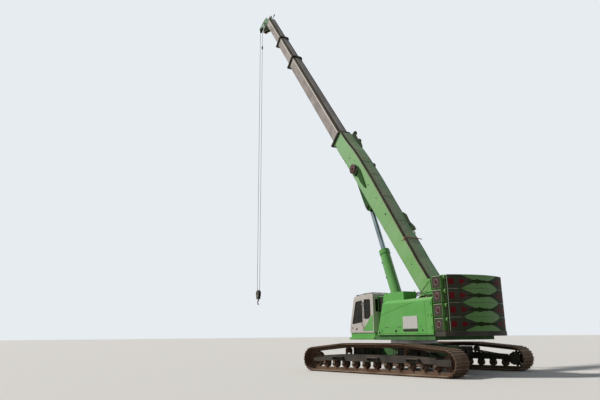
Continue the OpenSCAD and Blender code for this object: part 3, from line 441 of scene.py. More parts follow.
ladders = []
for y in (-1.16, 1.16):
    for x in (-0.25, 0.25):
        ladders.append(post(x, y, 0.50, 1.02, 0.016, 12))
    for z in (0.55, 0.77, 0.99):
        ladders.append(bar((-0.25, y, z), (0.25, y, z), 0.014, 12))
    tread = y - 0.03 if y > 0 else y + 0.03
    ladders.append(block((-0.27, tread - 0.04, 0.98), (0.27, tread + 0.04, 1.0), 0.004))
piece("body_ladders", "undercarriage", dark_steel, ladders, UNDER)
piece("tie_eyes", "undercarriage", dark_steel, [
    ring((x, y, 0.75), 0.06, 0.018, flat=True) for x in (-1.64, 1.64) for y in (-0.8, 0.8)], UNDER)

# Upper frame: a welded deck in dark green. Its left edge is trimmed with a painted strip, and
# the cab's step hangs at that strip's foot on two round bars.
green_paint = finish("green_paint", (0.105, 0.44, 0.070), (0.145, 0.48, 0.105), 0.32, dust=0.26, stain=0.12,
                     coat=0.35)
dress(dark_green_paint, "upper_frame")
piece("deck_edge", "upper", green_paint, [block((0.80, 1.526, 1.30), (2.80, 1.534, 1.385), 0.003)])
piece("cab_step", "upper", dark_steel, [
    block((1.70, 1.50, 1.29), (2.10, 1.62, 1.315), 0.006),
    post(1.72, 1.51, 1.30, 1.40, 0.014, 12),
    post(2.08, 1.51, 1.30, 1.40, 0.014, 12)])

# Winch: a turned steel drum between two frame plates, with wire rope laid on it turn beside
# turn; round caps are bolted over its bearings.
DRUM_X = -2.73
DRUM_Z = 1.88
ROPE_PITCH = 0.029
rope_steel = finish("rope_steel", (0.10, 0.095, 0.085), (0.17, 0.16, 0.14), 0.45, dust=0.25, stain=0.5,
                    metal=0.5)
dress(dark_green_paint, "winch_frame")
dress(bare_steel, "winch_drum")
piece("drum_rope", "winch", rope_steel, [
    ring((DRUM_X, -0.2465 + lay * ROPE_PITCH, DRUM_Z), 0.214, 0.0145, 48, 8) for lay in range(18)])
piece("drum_caps", "upper", dark_steel, [
    stud(DRUM_X, DRUM_Z, side * 0.367, side * 0.392, 0.16, 32, 0.01) for side in (-1, 1)])

# Engine: a cast block in dark paint with a moulded rocker cover and a round air filter, both
# bolted on its top.
trim_black = finish("trim_black", (0.018, 0.018, 0.019), (0.035, 0.034, 0.033), 0.45, dust=0.35, stain=0.15)
dress(dark_steel, "engine")
piece("engine_cover", "upper", trim_black, [
    block((-2.5, -1.30, 2.53), (-1.3, -0.95, 2.60), 0.02, 3),
    bar((-2.4, -0.82, 2.60), (-1.7, -0.82, 2.60), 0.085, 32, 0.015)])

# Left hood: pressed steel panels on a frame, painted green like the platform and the rails, with
# turn locks, pull handles, hinge knuckles, drain holes and a bead along the sill. A blank white
# board is riveted on, and two small lamps sit in rubber.
HOOD_SIDE = 1.55
white_board = finish("white_board", (0.62, 0.62, 0.60), (0.70, 0.69, 0.66), 0.45, dust=0.22, stain=0.12)
plug_dark = finish("plug_dark", (0.012, 0.035, 0.014), (0.02, 0.05, 0.02), 0.5, dust=0.2, stain=0.2)
lamp_lens = finish("lamp_lens", (0.75, 0.72, 0.62), (0.66, 0.64, 0.58), 0.12, dust=0.2, stain=0.05, coat=1.0)
dress(green_paint, "hood_left", "hood_right", "front_box", "cab_platform", "handrails")
board = block((-2.24, HOOD_SIDE, 1.72), (-1.33, HOOD_SIDE + 0.012, 2.20), 0.004)
piece("blank_board", "upper", white_board, [board] + [
    stud(x, z, HOOD_SIDE, HOOD_SIDE + 0.018, 0.011, 10, 0.003)
    for x in (-2.20, -1.785, -1.37) for z in (1.76, 2.16)])
piece("board_foot", "upper", rubber, [
    block((-2.24, HOOD_SIDE, 1.61), (-1.33, HOOD_SIDE + 0.010, 1.70), 0.003)])


def lamp(name, at, radius, outward):
    """A round lamp: a bevelled housing with a recessed lens, facing outward."""
    at = Vector(at)
    outward = Vector(outward)
    piece(name + "_housing", "upper", rubber, [bar(at, at + outward * 0.05, radius, 24, 0.008)])
    piece(name + "_lens", "upper", lamp_lens, [
        bar(at + outward * 0.045, at + outward * 0.062, radius * 0.78, 24, 0.006)])


lamp("side_lamp_front", (0.33, HOOD_SIDE, 1.59), 0.035, (0, 1, 0))
lamp("side_lamp_rear", (-0.80, HOOD_SIDE, 1.645), 0.032, (0, 1, 0))
piece("hood_locks", "upper", trim_black, [
    stud(x, z, HOOD_SIDE - 0.004, HOOD_SIDE + 0.010, 0.022, 20, 0.004)
    for x, z in ((-0.12, 1.80), (-1.14, 1.80), (-2.42, 1.80), (-2.88, 2.20))])
piece("hood_handles", "upper", trim_black, [
    hose([(x + along, HOOD_SIDE + out, 1.80)
          for along, out in ((-0.06, 0), (-0.055, 0.03), (0.055, 0.03), (0.06, 0))], 0.007)
    for x in (-0.25, -1.02)])
piece("hood_hinges", "upper", green_paint, [
    post(-3.06, HOOD_SIDE + 0.008, z - 0.06, z + 0.06, 0.014, 12, 0.003) for z in (1.75, 2.20, 2.65)])
piece("hole_rings", "upper", plug_dark, [
    stud(x, 1.645, HOOD_SIDE - 0.03, HOOD_SIDE - 0.002, 0.037, 24) for x in (0.14, -0.88, -2.52)])
piece("sill_marks", "upper", lamp_lens, [
    stud(x, 1.50, HOOD_SIDE - 0.003, HOOD_SIDE + 0.012, 0.018, 16, 0.003) for x in (-0.05, -1.9)])
for name, y in (("hood_bead", HOOD_SIDE), ("right_bead", -HOOD_SIDE)):
    piece(name, "upper", green_paint, [
        hose([(x, y, 1.55) for x in (0.36, -1.2, -3.10)], 0.012, 3, False, False)])

# Right hood: the same panels over the engine, with turn locks and two rows of upright fins in
# front of the cooler.
piece("right_grille", "upper", trim_black, [
    block((x, -1.556, z), (x + 0.03, -1.548, z + 0.34), 0.003)
    for z in (1.90, 2.32) for x in [-0.55 - number * 0.085 for number in range(9)]])
piece("right_locks", "upper", trim_black, [
    stud(x, 1.80, 0.004 - HOOD_SIDE, -HOOD_SIDE - 0.012, 0.022, 20, 0.004) for x in (-1.5, -0.2, -2.95)])

# Hood tops: anti-slip mats glued on, forged lift eyes screwed in, and on the right the rusty
# exhaust pipe in its collar and the air intake under its moulded cap.
mat = finish("mat", (0.045, 0.045, 0.042), (0.09, 0.085, 0.075), 0.85, dust=0.6, stain=0.2, relief=0.6)
exhaust = finish("exhaust", (0.16, 0.10, 0.07), (0.24, 0.17, 0.12), 0.55, dust=0.3, stain=0.5, metal=0.6)
for name, corner, far_corner in (("left_mat", (-3.0, 0.62, 2.878), (-1.35, 1.36, 2.888)),
                                 ("right_mat", (-2.3, -1.36, 2.878), (-0.15, -0.62, 2.888)),
                                 ("front_box_mat", (-1.18, 0.80, 3.218), (0.02, 1.34, 3.228))):
    piece(name, "upper", mat, [block(corner, far_corner, 0.004)])
eyes = []
for x, y, z in ((-1.20, 0.78, 3.22), (-0.05, 0.78, 3.22), (-2.9, 0.70, 2.88), (-2.9, -1.3, 2.88),
                (-0.2, -0.75, 2.88)):
    eyes.append(ring((x, y, z + 0.036), 0.032, 0.010))
    eyes.append(post(x, y, z - 0.002, z + 0.012, 0.028, 20, 0.004))
piece("lift_eyes", "upper", bare_steel, eyes)
piece("exhaust_pipe", "upper", exhaust, [
    post(-2.55, -1.02, 2.86, 3.20, 0.075, 32, 0.006),
    hose([(-2.55, -1.02, 3.18), (-2.55, -1.02, 3.30), (-2.62, -1.02, 3.38), (-2.74, -1.02, 3.40)], 0.062, 6)])
piece("exhaust_shield", "upper", dark_steel, [post(-2.55, -1.02, 2.878, 2.93, 0.14, 32, 0.012)])
piece("intake_cap", "upper", trim_black, [
    post(-1.9, -1.20, 2.87, 3.06, 0.07, 28, 0.005),
    post(-1.9, -1.20, 3.05, 3.17, 0.125, 36, 0.03)])

# Boom foot: two bent pipe rails, painted green, stand over the gap behind the front box. Pale
# and black rubber hoses loop over it, and bare steel valves are bolted on the box's inner side.
hose_cream = finish("hose_cream", (0.46, 0.42, 0.30), (0.36, 0.33, 0.24), 0.55, dust=0.4, stain=0.35)
piece("foot_rails", "upper", green_paint, [
    hose([(x, 0.60, z) for x, z in ((-1.28, 2.90), (-1.35, 3.12), (-1.92, 3.20), (-2.5, 3.20), (-2.62, 2.90))],
         0.024),
    hose([(x, 0.72, z) for x, z in ((-1.30, 2.88), (-1.42, 3.04), (-1.95, 3.10), (-2.4, 3.08), (-2.5, 2.88))],
         0.020)])
loops = []
for shift in (0, 0.045, 0.090, 0.135):
    aside = shift * 0.5
    loops.append(hose([(-0.75 - shift, 0.56 + aside, 2.86), (-0.80 - shift, 0.55 + aside, 3.02 + shift),
                       (-1.20 - shift, 0.53 + aside, 3.10 + shift), (-1.60, 0.50 + shift * 0.4, 3.05 + shift),
                       (-1.90, 0.50 + shift * 0.4, 2.80)], 0.017, 3))
piece("foot_hoses", "upper", hose_cream, loops[:2])
piece("foot_hoses_black", "upper", rubber, loops[2:])
piece("valve_bank", "upper", bare_steel, [
    block((x, 0.545, 2.30), (x + 0.10, 0.56, 2.42), 0.006) for x in (-0.60, -0.46, -0.32)])

# Counterweight's front blocks: the ends of four cast slabs, which stand on a dark tray. Each
# block's face is painted grey-brown, with a dark red disc and a black core in a pale ring.
SLAB_SIDE = 1.53
SLAB_FOOT = 1.59
SLAB_STEP = 0.514
SLAB_TALL = 0.506
BLOCK_X = -3.435
weight_green = finish("weight_green", (0.13, 0.35, 0.075), (0.17, 0.40, 0.11), 0.36, dust=0.28, stain=0.3,
                      coat=0.2)
block_brown = finish("block_brown", (0.045, 0.042, 0.032), (0.075, 0.070, 0.054), 0.5, dust=0.15, stain=0.5,
                     shine=0.05)
ring_red = finish("ring_red", (0.085, 0.014, 0.022), (0.12, 0.03, 0.035), 0.45, dust=0.1, stain=0.2, shine=0.05)
mark_pale = finish("mark_pale", (0.22, 0.165, 0.18), (0.30, 0.24, 0.25), 0.5, dust=0.2, stain=0.25)
dress(weight_green, *["counterweight_slab_%d" % number for number in (1, 2, 3, 4)])
dress(dark_steel, "counterweight_tray")


for level in range(4):
    low = SLAB_FOOT + level * SLAB_STEP + (0.034 if level else 0.03)
    high = SLAB_FOOT + level * SLAB_STEP + SLAB_TALL - 0.034
    middle = (low + high) / 2
    piece("block_face_%d" % level, "upper", block_brown, [
        block((BLOCK_X - 0.22, side * (SLAB_SIDE - 0.004), low),
              (BLOCK_X + 0.22, side * (SLAB_SIDE + 0.005), high), 0.002) for side in (-1, 1)])
    piece("block_mark_%d" % level, "upper", ring_red, [
        stud(BLOCK_X, middle, side * (SLAB_SIDE + 0.004), side * (SLAB_SIDE + 0.011), 0.085, 32, 0.002)
        for side in (-1, 1)])
    piece("block_ring_%d" % level, "upper", mark_pale, [
        ring((BLOCK_X, side * (SLAB_SIDE + 0.004), middle), 0.108, 0.016, 40, 6, smooth=False)
        for side in (-1, 1)])
    piece("block_core_%d" % level, "upper", trim_black, [
        stud(BLOCK_X, middle, side * (SLAB_SIDE + 0.010), side * (SLAB_SIDE + 0.014), 0.035, 24, 0.001)
        for side in (-1, 1)])

# Counterweight's rear: a pattern painted on each slab, a dark field that narrows towards the
# middle, a black spindle with uneven edges along it and two red fields at each side.
TAIL_MID = -1.525
TAIL_R = 2.70
TAIL_HALF = 1.375
panel_brown = finish("panel_brown", (0.060, 0.070, 0.046), (0.095, 0.095, 0.070), 0.5, dust=0.12, stain=0.4,
                     shine=0.05)
spindle_black = finish("spindle_black", (0.018, 0.040, 0.008), (0.030, 0.055, 0.014), 0.5, dust=0.05, stain=0.2,
                       shine=0.05)
mark_red = finish("mark_red", (0.23, 0.006, 0.014), (0.27, 0.02, 0.03), 0.42, dust=0.05, stain=0.2, shine=0.05)
FIELD_HALF = ((0.89, 0.247), (0.78, 0.190), (0.64, 0.132), (0.48, 0.080), (0.34, 0.034), (0.16, 0.020),
              (0.0, 0.018))
SPINDLE_HALF = ((0.70, 0.012), (0.56, 0.030), (0.47, 0.024), (0.40, 0.058), (0.30, 0.066), (0.24, 0.095),
                (0.18, 0.070), (0.08, 0.060), (0.0, 0.048), (-0.10, 0.055), (-0.22, 0.036), (-0.36, 0.042),
                (-0.50, 0.026), (-0.66, 0.012))


def tail_x(y, proud=0.0):
    """Where the slabs' round rear lies at a distance from the middle."""
    return TAIL_MID - ((TAIL_R + proud) ** 2 - y ** 2) ** 0.5


def thicken(obj, wall, offset=-1):
    """Gives a sheet its wall."""
    only(obj)
    bpy.ops.object.modifier_add(type="SOLIDIFY")
    obj.modifiers[-1].thickness = wall
    obj.modifiers[-1].offset = offset
    bpy.ops.object.modifier_apply(modifier=obj.modifiers[-1].name)


def face_out(obj):
    """Turns all faces of a mesh outwards."""
    open_mesh(obj)
    bpy.ops.mesh.normals_make_consistent(inside=False)
    close_mesh()


def on_tail(name, outlines, material, proud):
    """Flat outlines of (y, z) points, cut into strips, bent on to the slabs' round and thickened."""
    made = []
    for outline in outlines:
        bpy.ops.object.select_all(action="DESELECT")
        bpy.ops.mesh.primitive_circle_add(vertices=len(outline), fill_type="NGON")
        flat = bpy.context.object
        for corner, (y, z) in zip(flat.data.vertices, outline):
            corner.co = (-4.4, y, z)
        open_mesh(flat)
        for cut in [number / 16 for number in range(-23, 24)]:
            if min(y for y, z in outline) + 0.004 < cut < max(y for y, z in outline) - 0.004:
                bpy.ops.mesh.select_all(action="SELECT")
                bpy.ops.mesh.bisect(plane_co=(-4.4, cut, 0), plane_no=(0, 1, 0))
        close_mesh()
        for corner in flat.data.vertices:
            corner.co.x = tail_x(corner.co.y, proud)
        face_out(flat)
        thicken(flat, 0.006, 0)
        face_out(flat)
        made.append(flat)
    piece(name, "upper", material, made)


for level in range(4):
    low = SLAB_FOOT + level * SLAB_STEP + 0.006
    high = low + SLAB_TALL - 0.012
    middle = (low + high) / 2
    field_half = FIELD_HALF + tuple((-y, half) for y, half in reversed(FIELD_HALF[:-1]))
    reds = []
    for side in (-1, 1):
        reds.append([(side * y, middle + z) for y, z in ((1.330, -0.105), (1.330, 0.105), (1.165, 0.105),
                                                         (1.165, -0.105))])
        reds.append([(side * y, middle + z) for y, z in ((0.965, -0.085), (0.965, 0.085), (0.87, 0.075),
                                                         (0.74, 0), (0.87, -0.075))])
    on_tail("rear_spindle_%d" % level, [
        [(y, middle + half) for y, half in SPINDLE_HALF]
        + [(y, middle - half) for y, half in reversed(SPINDLE_HALF)]], spindle_black, 0.006)
    on_tail("rear_pattern_%d" % level, [
        [(TAIL_HALF, low), (TAIL_HALF, high)] + [(y, middle + half) for y, half in field_half]
        + [(-TAIL_HALF, high), (-TAIL_HALF, low)] + [(y, middle - half) for y, half in reversed(field_half)]],
            panel_brown, 0.002)
    on_tail("rear_marks_%d" % level, reds, mark_red, 0.005)

# Slab edges and ties: a pale line of painted highlight runs along the slabs' upper and rear
# edges. Two tie rods with hexagon nuts hold the slabs together, and a small plate lies on top at
# each side.
EDGE_Y = 1.372
slab_edge_highlight = finish("slab_edge_highlight", (0.40, 0.52, 0.36), (0.50, 0.56, 0.42), 0.5, dust=0.1, stain=0.3)
edges = []
ties = []
for side in (-1, 1):
    ties.append(post(-3.76, side * 1.38, 1.44, 3.62, 0.022, 12, 0.004))
    ties.append(block((-3.60, side * 1.20 - 0.10, 3.636), (-3.30, side * 1.20 + 0.10, 3.662), 0.006))
    for level in range(4):
        foot = SLAB_FOOT + level * SLAB_STEP
        top = foot + SLAB_TALL
        ties.append(post(-3.76, side * 1.38, foot + 0.30, foot + 0.36, 0.038, 6, 0.004))
        edges.append(block((-3.66, side * SLAB_SIDE - 0.006, top - 0.048),
                           (-3.21, side * SLAB_SIDE + 0.006, top - 0.034), 0.003))
        rear_top = [side * (TAIL_HALF - number * 0.045) for number in range(9)]
        edges.append(hose([(tail_x(y), y, top - 0.004) for y in rear_top], 0.010, 2, False, False))
        edges.append(hose([(tail_x(EDGE_Y) - 0.002, side * EDGE_Y, top - drop) for drop in (0.49, 0.25, 0.01)],
                          0.009, 2, False, False))
piece("slab_edges", "upper", slab_edge_highlight, edges)
piece("slab_ties", "upper", dark_steel, ties)

# Cab: a pressed steel shell and door, painted pale grey, with tinted glass that has a film of
# dust. Black rubber seals are pressed round each pane and round the door's opening.
CAB_SIDE = 1.505
DOOR_GLASS = ((1.700, 2.060), (2.560, 1.990), (2.225, 2.990), (1.690, 3.020))
REAR_GLASS = ((1.040, 2.330), (1.180, 2.200), (1.520, 2.190), (1.520, 3.060), (1.040, 3.040))
REAR_WALL_GLASS = ((0.685, 2.50), (1.375, 2.50), (1.375, 3.03), (0.685, 3.03))
DOOR_OPENING = ((1.655, 1.628), (2.712, 1.628), (2.700, 1.83), (2.322, 3.062), (1.612, 3.075))
cab_paint = finish("cab_paint", (0.62, 0.58, 0.54), (0.68, 0.64, 0.60), 0.35, dust=0.35, stain=0.18, coat=0.2)
dress(cab_paint, "cab_shell", "cab_door")

glass = bpy.data.materials.new("glass")
glass.use_nodes = True
glass_tree = glass.node_tree
glass_shader = glass_tree.nodes["Principled BSDF"].inputs
glass_place = glass_tree.nodes.new("ShaderNodeTexCoord").outputs["Object"]
glass_dust = ramp(glass_tree, noise(glass_tree, glass_place, 3.0, 6.0), 0.3, 0.8)
glass_tree.links.new(mix_colours(glass_tree, glass_dust, (0.006, 0.006, 0.004, 1), (0.040, 0.034, 0.022, 1)),
                     glass_shader["Base Color"])
glass_tree.links.new(ramp(glass_tree, glass_dust, -0.2, 2.4), glass_shader["Roughness"])
glass_tree.links.new(math_node(glass_tree, "ADD", math_node(glass_tree, "MULTIPLY", glass_dust, 0.10), 0.88),
                     glass_shader["Alpha"])
glass_shader["IOR"].default_value = 1.5
glass_shader["Specular IOR Level"].default_value = 0.12
dress(glass, "cab_glass", "cab_door_glass")


def rounded_loop(corners, reach, steps=4):
    """Points of a closed outline whose corners are rounded off by that reach."""
    loop = []
    for number, corner in enumerate(corners):
        here = Vector(corner)
        before = (Vector(corners[number - 1]) - here).normalized()
        after = (Vector(corners[(number + 1) % len(corners)]) - here).normalized()
        for share in [step / steps for step in range(steps + 1)]:
            loop.append((1 - share) ** 2 * (here + before * reach) + 2 * share * (1 - share) * here
                        + share ** 2 * (here + after * reach))
    return loop


def seal(corners, y, radius, reach=0.06):
    """A rubber seal that runs round a window in side view."""
    return hose([(x, y, z) for x, z in rounded_loop(corners, reach)], radius, 3, True, False)


piece("door_seal", "door", trim_black, [seal(DOOR_GLASS, CAB_SIDE - 0.004, 0.011)])
piece("rear_side_seal", "upper", trim_black, [seal(REAR_GLASS, CAB_SIDE - 0.004, 0.011)])
piece("rear_wall_seal", "upper", trim_black, [
    hose([(0.818, y, z) for y, z in rounded_loop(REAR_WALL_GLASS, 0.03)], 0.011, 3, True, False)])
piece("windscreen_seal", "upper", trim_black, [
    hose([(2.352, 0.66, 3.09), (2.352, 1.40, 3.09), (2.714, 1.40, 2.06), (2.714, 0.66, 2.06)], 0.012, 3,
         True, False)])
piece("door_gasket", "upper", trim_black, [seal(DOOR_OPENING, CAB_SIDE - 0.026, 0.010, 0.05)])

# Door furniture: a pull handle in a dark pan, a round lock, a small rail on the door and the
# grab rail on the pillar, all black coated and screwed on.
piece("door_handle", "door", trim_black, [
    block((2.13, CAB_SIDE - 0.006, 1.735), (2.27, CAB_SIDE + 0.008, 1.795), 0.006),
    hose([(2.145, CAB_SIDE, 1.765), (2.16, CAB_SIDE + 0.035, 1.765), (2.24, CAB_SIDE + 0.035, 1.765),
          (2.255, CAB_SIDE, 1.765)], 0.010)])
piece("door_lock", "door", trim_black, [
    stud(2.54, 1.81, CAB_SIDE - 0.006, CAB_SIDE + 0.014, 0.034, 24, 0.006)])
piece("door_step_rail", "door", trim_black, [
    hose([(1.72, CAB_SIDE, 1.90), (1.72, CAB_SIDE + 0.045, 1.92), (1.72, CAB_SIDE + 0.045, 2.02),
          (1.72, CAB_SIDE, 2.04)], 0.009)])
piece("cab_grab_rail", "upper", trim_black, [
    hose([(1.575, CAB_SIDE, 2.22), (1.575, CAB_SIDE + 0.05, 2.25), (1.575, CAB_SIDE + 0.05, 2.92),
          (1.575, CAB_SIDE, 2.95)], 0.011)])

# Cab roof: a guard of welded round bars on four feet, a seam rail along the edge and two round
# work lamps at the front.
rails = []
for y in (0.62, 0.78, 0.94, 1.10, 1.26, 1.43):
    rails.append(hose([(0.93, y, 3.335), (1.6, y, 3.325), (2.26, y, 3.285)], 0.010, 3, False, False))
for x, z in ((0.95, 3.325), (1.60, 3.313), (2.24, 3.275)):
    rails.append(stud(x, z, 0.60, 1.45, 0.012, 12, 0.003))
for x, z, foot in ((0.95, 3.325, 3.27), (2.24, 3.275, 3.21)):
    for y in (0.64, 1.41):
        rails.append(post(x, y, foot, z, 0.014, 12))
piece("roof_guard", "upper", dark_steel, rails)
piece("roof_edge", "upper", cab_paint, [
    hose([(x, CAB_SIDE - 0.02, z) for x, z in ((0.87, 3.278), (1.6, 3.251), (2.26, 3.222), (2.33, 3.19))],
         0.014, 4, False, False)])
lamp("roof_lamp", (2.28, 1.30, 3.255), 0.06, (1, 0, -0.15))
lamp("roof_lamp_right", (2.28, 0.72, 3.255), 0.06, (1, 0, -0.15))

# Mirror and wipers: a bright glass in a dark moulded shell, on a bent tube at the front of the
# cab's inner side; two thin wiper arms on the windscreen.
mirror_glass = finish("mirror_glass", (0.72, 0.74, 0.76), (0.60, 0.62, 0.64), 0.06, dust=0.15, stain=0.05,
                      metal=1.0)
piece("mirror_arm", "upper", trim_black, [
    hose([(2.36, 0.58, 3.00), (2.46, 0.54, 3.04), (2.52, 0.50, 3.02), (2.52, 0.50, 2.84)], 0.011)])
piece("mirror_shell", "upper", trim_black, [block((2.505, 0.43, 2.62), (2.555, 0.57, 2.88), 0.018, 3)])
piece("mirror_face", "upper", mirror_glass, [block((2.500, 0.442, 2.635), (2.507, 0.558, 2.865), 0.002)])
piece("front_wiper", "upper", trim_black, [
    bar((2.752, 1.03, 2.03), (2.56, 1.12, 2.72), 0.008, 8),
    bar((2.70, 1.22, 2.22), (2.48, 1.16, 2.96), 0.010, 8)])


def plate(outline, near, far, edge=0.0):
    """A plate: an outline of (x, z) points, extruded along Y between two places."""
    near, far = sorted((near, far))
    bpy.ops.object.select_all(action="DESELECT")
    bpy.ops.mesh.primitive_circle_add(vertices=len(outline), fill_type="NGON")
    made = bpy.context.object
    for corner, (x, z) in zip(made.data.vertices, outline):
        corner.co = (x, near, z)
    open_mesh(made)
    bpy.ops.mesh.extrude_region_move(TRANSFORM_OT_translate={"value": (0, far - near, 0)})
    bpy.ops.mesh.select_all(action="SELECT")
    bpy.ops.mesh.normals_make_consistent(inside=False)
    close_mesh(edge)
    return made


# Cab's lower corner: a thin green wedge is screwed on the grey shell behind the door, and a grey
# foot panel runs along the whole side.
piece("cab_wedge", "upper", green_paint, [
    plate([(1.610, 1.665), (1.610, 1.76), (0.99, 2.30), (0.86, 2.40), (0.86, 1.665)],
          CAB_SIDE - 0.004, CAB_SIDE + 0.004, 0.0015)])
piece("cab_foot_panel", "upper", cab_paint, [
    block((0.83, CAB_SIDE - 0.004, 1.60), (2.74, CAB_SIDE + 0.006, 1.642), 0.003)])

# Inside the cab: a cloth seat with its head rest between two moulded consoles with levers, a
# display on its stalk, a rolled sun blind and a rubber mat.
console = finish("console", (0.05, 0.05, 0.052), (0.08, 0.08, 0.082), 0.6, dust=0.25, stain=0.1)
seat_cloth = finish("seat_cloth", (0.03, 0.03, 0.033), (0.05, 0.05, 0.053), 0.85, dust=0.25, stain=0.1,
                    relief=0.4)
dress(seat_cloth, "cab_seat")
for number, y in enumerate((0.70, 1.27)):
    piece("console_%d" % number, "upper", console, [
        block((1.42, y, 1.66), (1.95, y + 0.11, 2.19), 0.03, 3),
        bar((1.86, y + 0.055, 2.18), (1.90, y + 0.055, 2.30), 0.012, 12),
        bar((1.895, y + 0.055, 2.29), (1.91, y + 0.055, 2.37), 0.028, 16, 0.01)])
piece("display", "upper", console, [
    bar((2.40, 1.25, 1.70), (2.28, 1.28, 2.28), 0.018, 12),
    block((2.26, 1.16, 2.26), (2.30, 1.38, 2.44), 0.012)])
piece("head_rest", "upper", seat_cloth, [block((1.14, 0.90, 2.70), (1.24, 1.16, 2.90), 0.04, 4)] + [
    bar((1.20, y, 2.58), (1.19, y, 2.72), 0.010, 10) for y in (0.97, 1.09)])
piece("sun_blind", "upper", console, [hose([(2.30, 0.66, 3.05), (2.30, 1.40, 3.05)], 0.028, 4, False, False)])
piece("floor_mat", "upper", rubber, [block((0.90, 0.64, 1.641), (2.62, 1.42, 1.652), 0.003)])

# Gap between cab and hood: a dark screen in a frame of green tube, over a green plate that is
# bolted to the deck.
piece("gap_screen", "upper", trim_black, [block((0.40, 1.18, 2.45), (0.80, 1.21, 3.10), 0.012)])
piece("gap_frame", "upper", green_paint, [
    hose([(x, 1.22, z) for x, z in ((0.39, 2.43), (0.39, 3.12), (0.80, 3.14), (0.80, 2.43))], 0.020, 4,
         True, False)])
piece("gap_plate", "upper", green_paint, [block((0.40, 1.20, 1.66), (0.80, 1.23, 2.42), 0.012)])

# Boom sections: welded box sections with a rounded belly. The base section is green and paler
# towards its head, the three moving ones are grey with dust and slide grease.
BOOM_ANGLE = radians(53)
BOOM = Matrix.Translation(Vector((-1.565, 0, 2.955))) @ Matrix.Rotation(-BOOM_ANGLE, 4, "Y")
BOOM_MID = 0.0915
UPPER_CORNER = 0.13
LOWER_CORNER = 0.36
SECTIONS = {
    "one": (0.65, 0.88, 11.93, 21.89, "boom_1"),
    "two": (0.60, 0.78, 22.03, 25.43, "boom_2"),
    "three": (0.55, 0.70, 25.57, 29.28, "boom_3"),
}
boom_green = finish("boom_green", (0.17, 0.44, 0.105), (0.27, 0.53, 0.22), 0.36, dust=0.36, stain=0.24,
                    coat=0.2, turn=BOOM_ANGLE, bleached=((0.29, 0.55, 0.25), 2.4, 11.4))
boom_grey = finish("boom_grey", (0.27, 0.24, 0.225), (0.50, 0.445, 0.415), 0.42, dust=0.45, stain=0.55,
                   turn=BOOM_ANGLE + pi / 2)
dress(boom_green, "boom_base")
dress(boom_grey, "boom_section_1", "boom_section_2", "boom_section_3")
dress(bare_steel, "boom_pin")


def round_long_edges(obj, level, radius, segments):
    """Rounds the two edges that run along X at that height."""
    open_mesh(obj, "edges", lambda rim: abs(way(rim).x) > 0.9
              and all(abs(corner.co.z - level) < 1e-4 for corner in rim.verts))
    close_mesh(radius, segments)


def drop_faces(obj, unwanted):
    """Deletes the faces that a test picks out."""
    open_mesh(obj, "faces", unwanted)
    bpy.ops.mesh.delete(type="FACE")
    close_mesh()


# Edges of the moving sections: a thin dark brown strip, painted shade of the groove, is wrapped
# round both upper corners, where the pads run, with a painted highlight line beside it. A dusty
# lane lies on the top.
PROUD = 0.0025
STRIP_TOP = 0.125
STRIP_SIDE = 0.105
LINE_DEPTH = 0.175
# The dark brown strip is painted shade of the corner grooves. The pale one beside it is a painted highlight.
groove_shade = finish("groove_shade", (0.034, 0.034, 0.020), (0.070, 0.060, 0.042), 0.5, dust=0.16, stain=0.5, shine=0.05,
                turn=BOOM_ANGLE)
edge_highlight = finish("edge_highlight", (0.80, 0.71, 0.65), (0.90, 0.82, 0.77), 0.5, dust=0.1, stain=0.3,
                     turn=BOOM_ANGLE)
pad_lane = finish("pad_lane", (0.34, 0.325, 0.315), (0.52, 0.50, 0.48), 0.5, dust=0.2, stain=0.7, shine=0.05,
                  turn=BOOM_ANGLE + pi / 2)
for part, (width, depth, start, stop, body) in SECTIONS.items():
    top = BOOM_MID + depth / 2
    half = width / 2
    foot = top + PROUD - STRIP_SIDE
    strip = block((start, -half - PROUD, BOOM_MID), (stop, half + PROUD, top + PROUD))
    round_long_edges(strip, top + PROUD, width * UPPER_CORNER + PROUD, 6)
    open_mesh(strip)
    for through, across in (((0, half - STRIP_TOP, 0), (0, 1, 0)), ((0, STRIP_TOP - half, 0), (0, 1, 0)),
                            ((0, 0, foot), (0, 0, 1))):
        bpy.ops.mesh.select_all(action="SELECT")
        bpy.ops.mesh.bisect(plane_co=through, plane_no=across)
    close_mesh()
    drop_faces(strip, lambda face: abs(face.normal.x) > 0.9 or face.calc_center_median().z < foot
               or abs(face.calc_center_median().y) < half - STRIP_TOP)
    thicken(strip, 0.006)
    bpy.ops.object.shade_smooth_by_angle(angle=radians(35))
    piece("edge_strips_" + part, body, groove_shade, [strip], BOOM)
    piece("edge_lines_" + part, body, edge_highlight, [
        block((start, side * (half - 0.004), top + PROUD - LINE_DEPTH),
              (stop, side * (half + 0.002), foot - 0.002), 0.001) for side in (-1, 1)], BOOM)
    lane_half = half - width * UPPER_CORNER
    piece("pad_lane_" + part, body, pad_lane, [
        block((start + 0.06, -lane_half, top - 0.006), (stop - 0.02, lane_half * 0.2, top + 0.0002))], BOOM)

# Back of the base section: a raised cover over the hose and cable runs, in two plates with dark
# edges of painted shade and flat bars across its seams. Its left part lies thick with dust and old
# grease, its right part stays clean, and a pale cable, its colour a painted highlight, runs along
# its left side.
BACK = ((0.62, 0.006), (1.75, 0.006), (2.2, 0.035), (3.5, 0.080), (5.0, 0.145), (7.2, 0.240), (9.0, 0.260),
        (9.8, 0.235), (10.7, 0.150), (11.66, 0.112))
BACK_TOP = 0.558
BACK_SIDE = 0.3425
EDGE_SIDE = 0.3545
back_grime = finish("back_grime", (0.40, 0.54, 0.33), (0.50, 0.56, 0.40), 0.6, dust=0.14, stain=0.45,
                    shine=0.05, turn=BOOM_ANGLE)
back_green = finish("back_green", (0.31, 0.56, 0.31), (0.38, 0.58, 0.37), 0.5, dust=0.10, stain=0.35,
                    shine=0.05, turn=BOOM_ANGLE)
# The cable's pale colour is a painted highlight along the edge.
cable_highlight = finish("cable_highlight", (0.62, 0.55, 0.46), (0.50, 0.44, 0.37), 0.45, dust=0.25, stain=0.3)


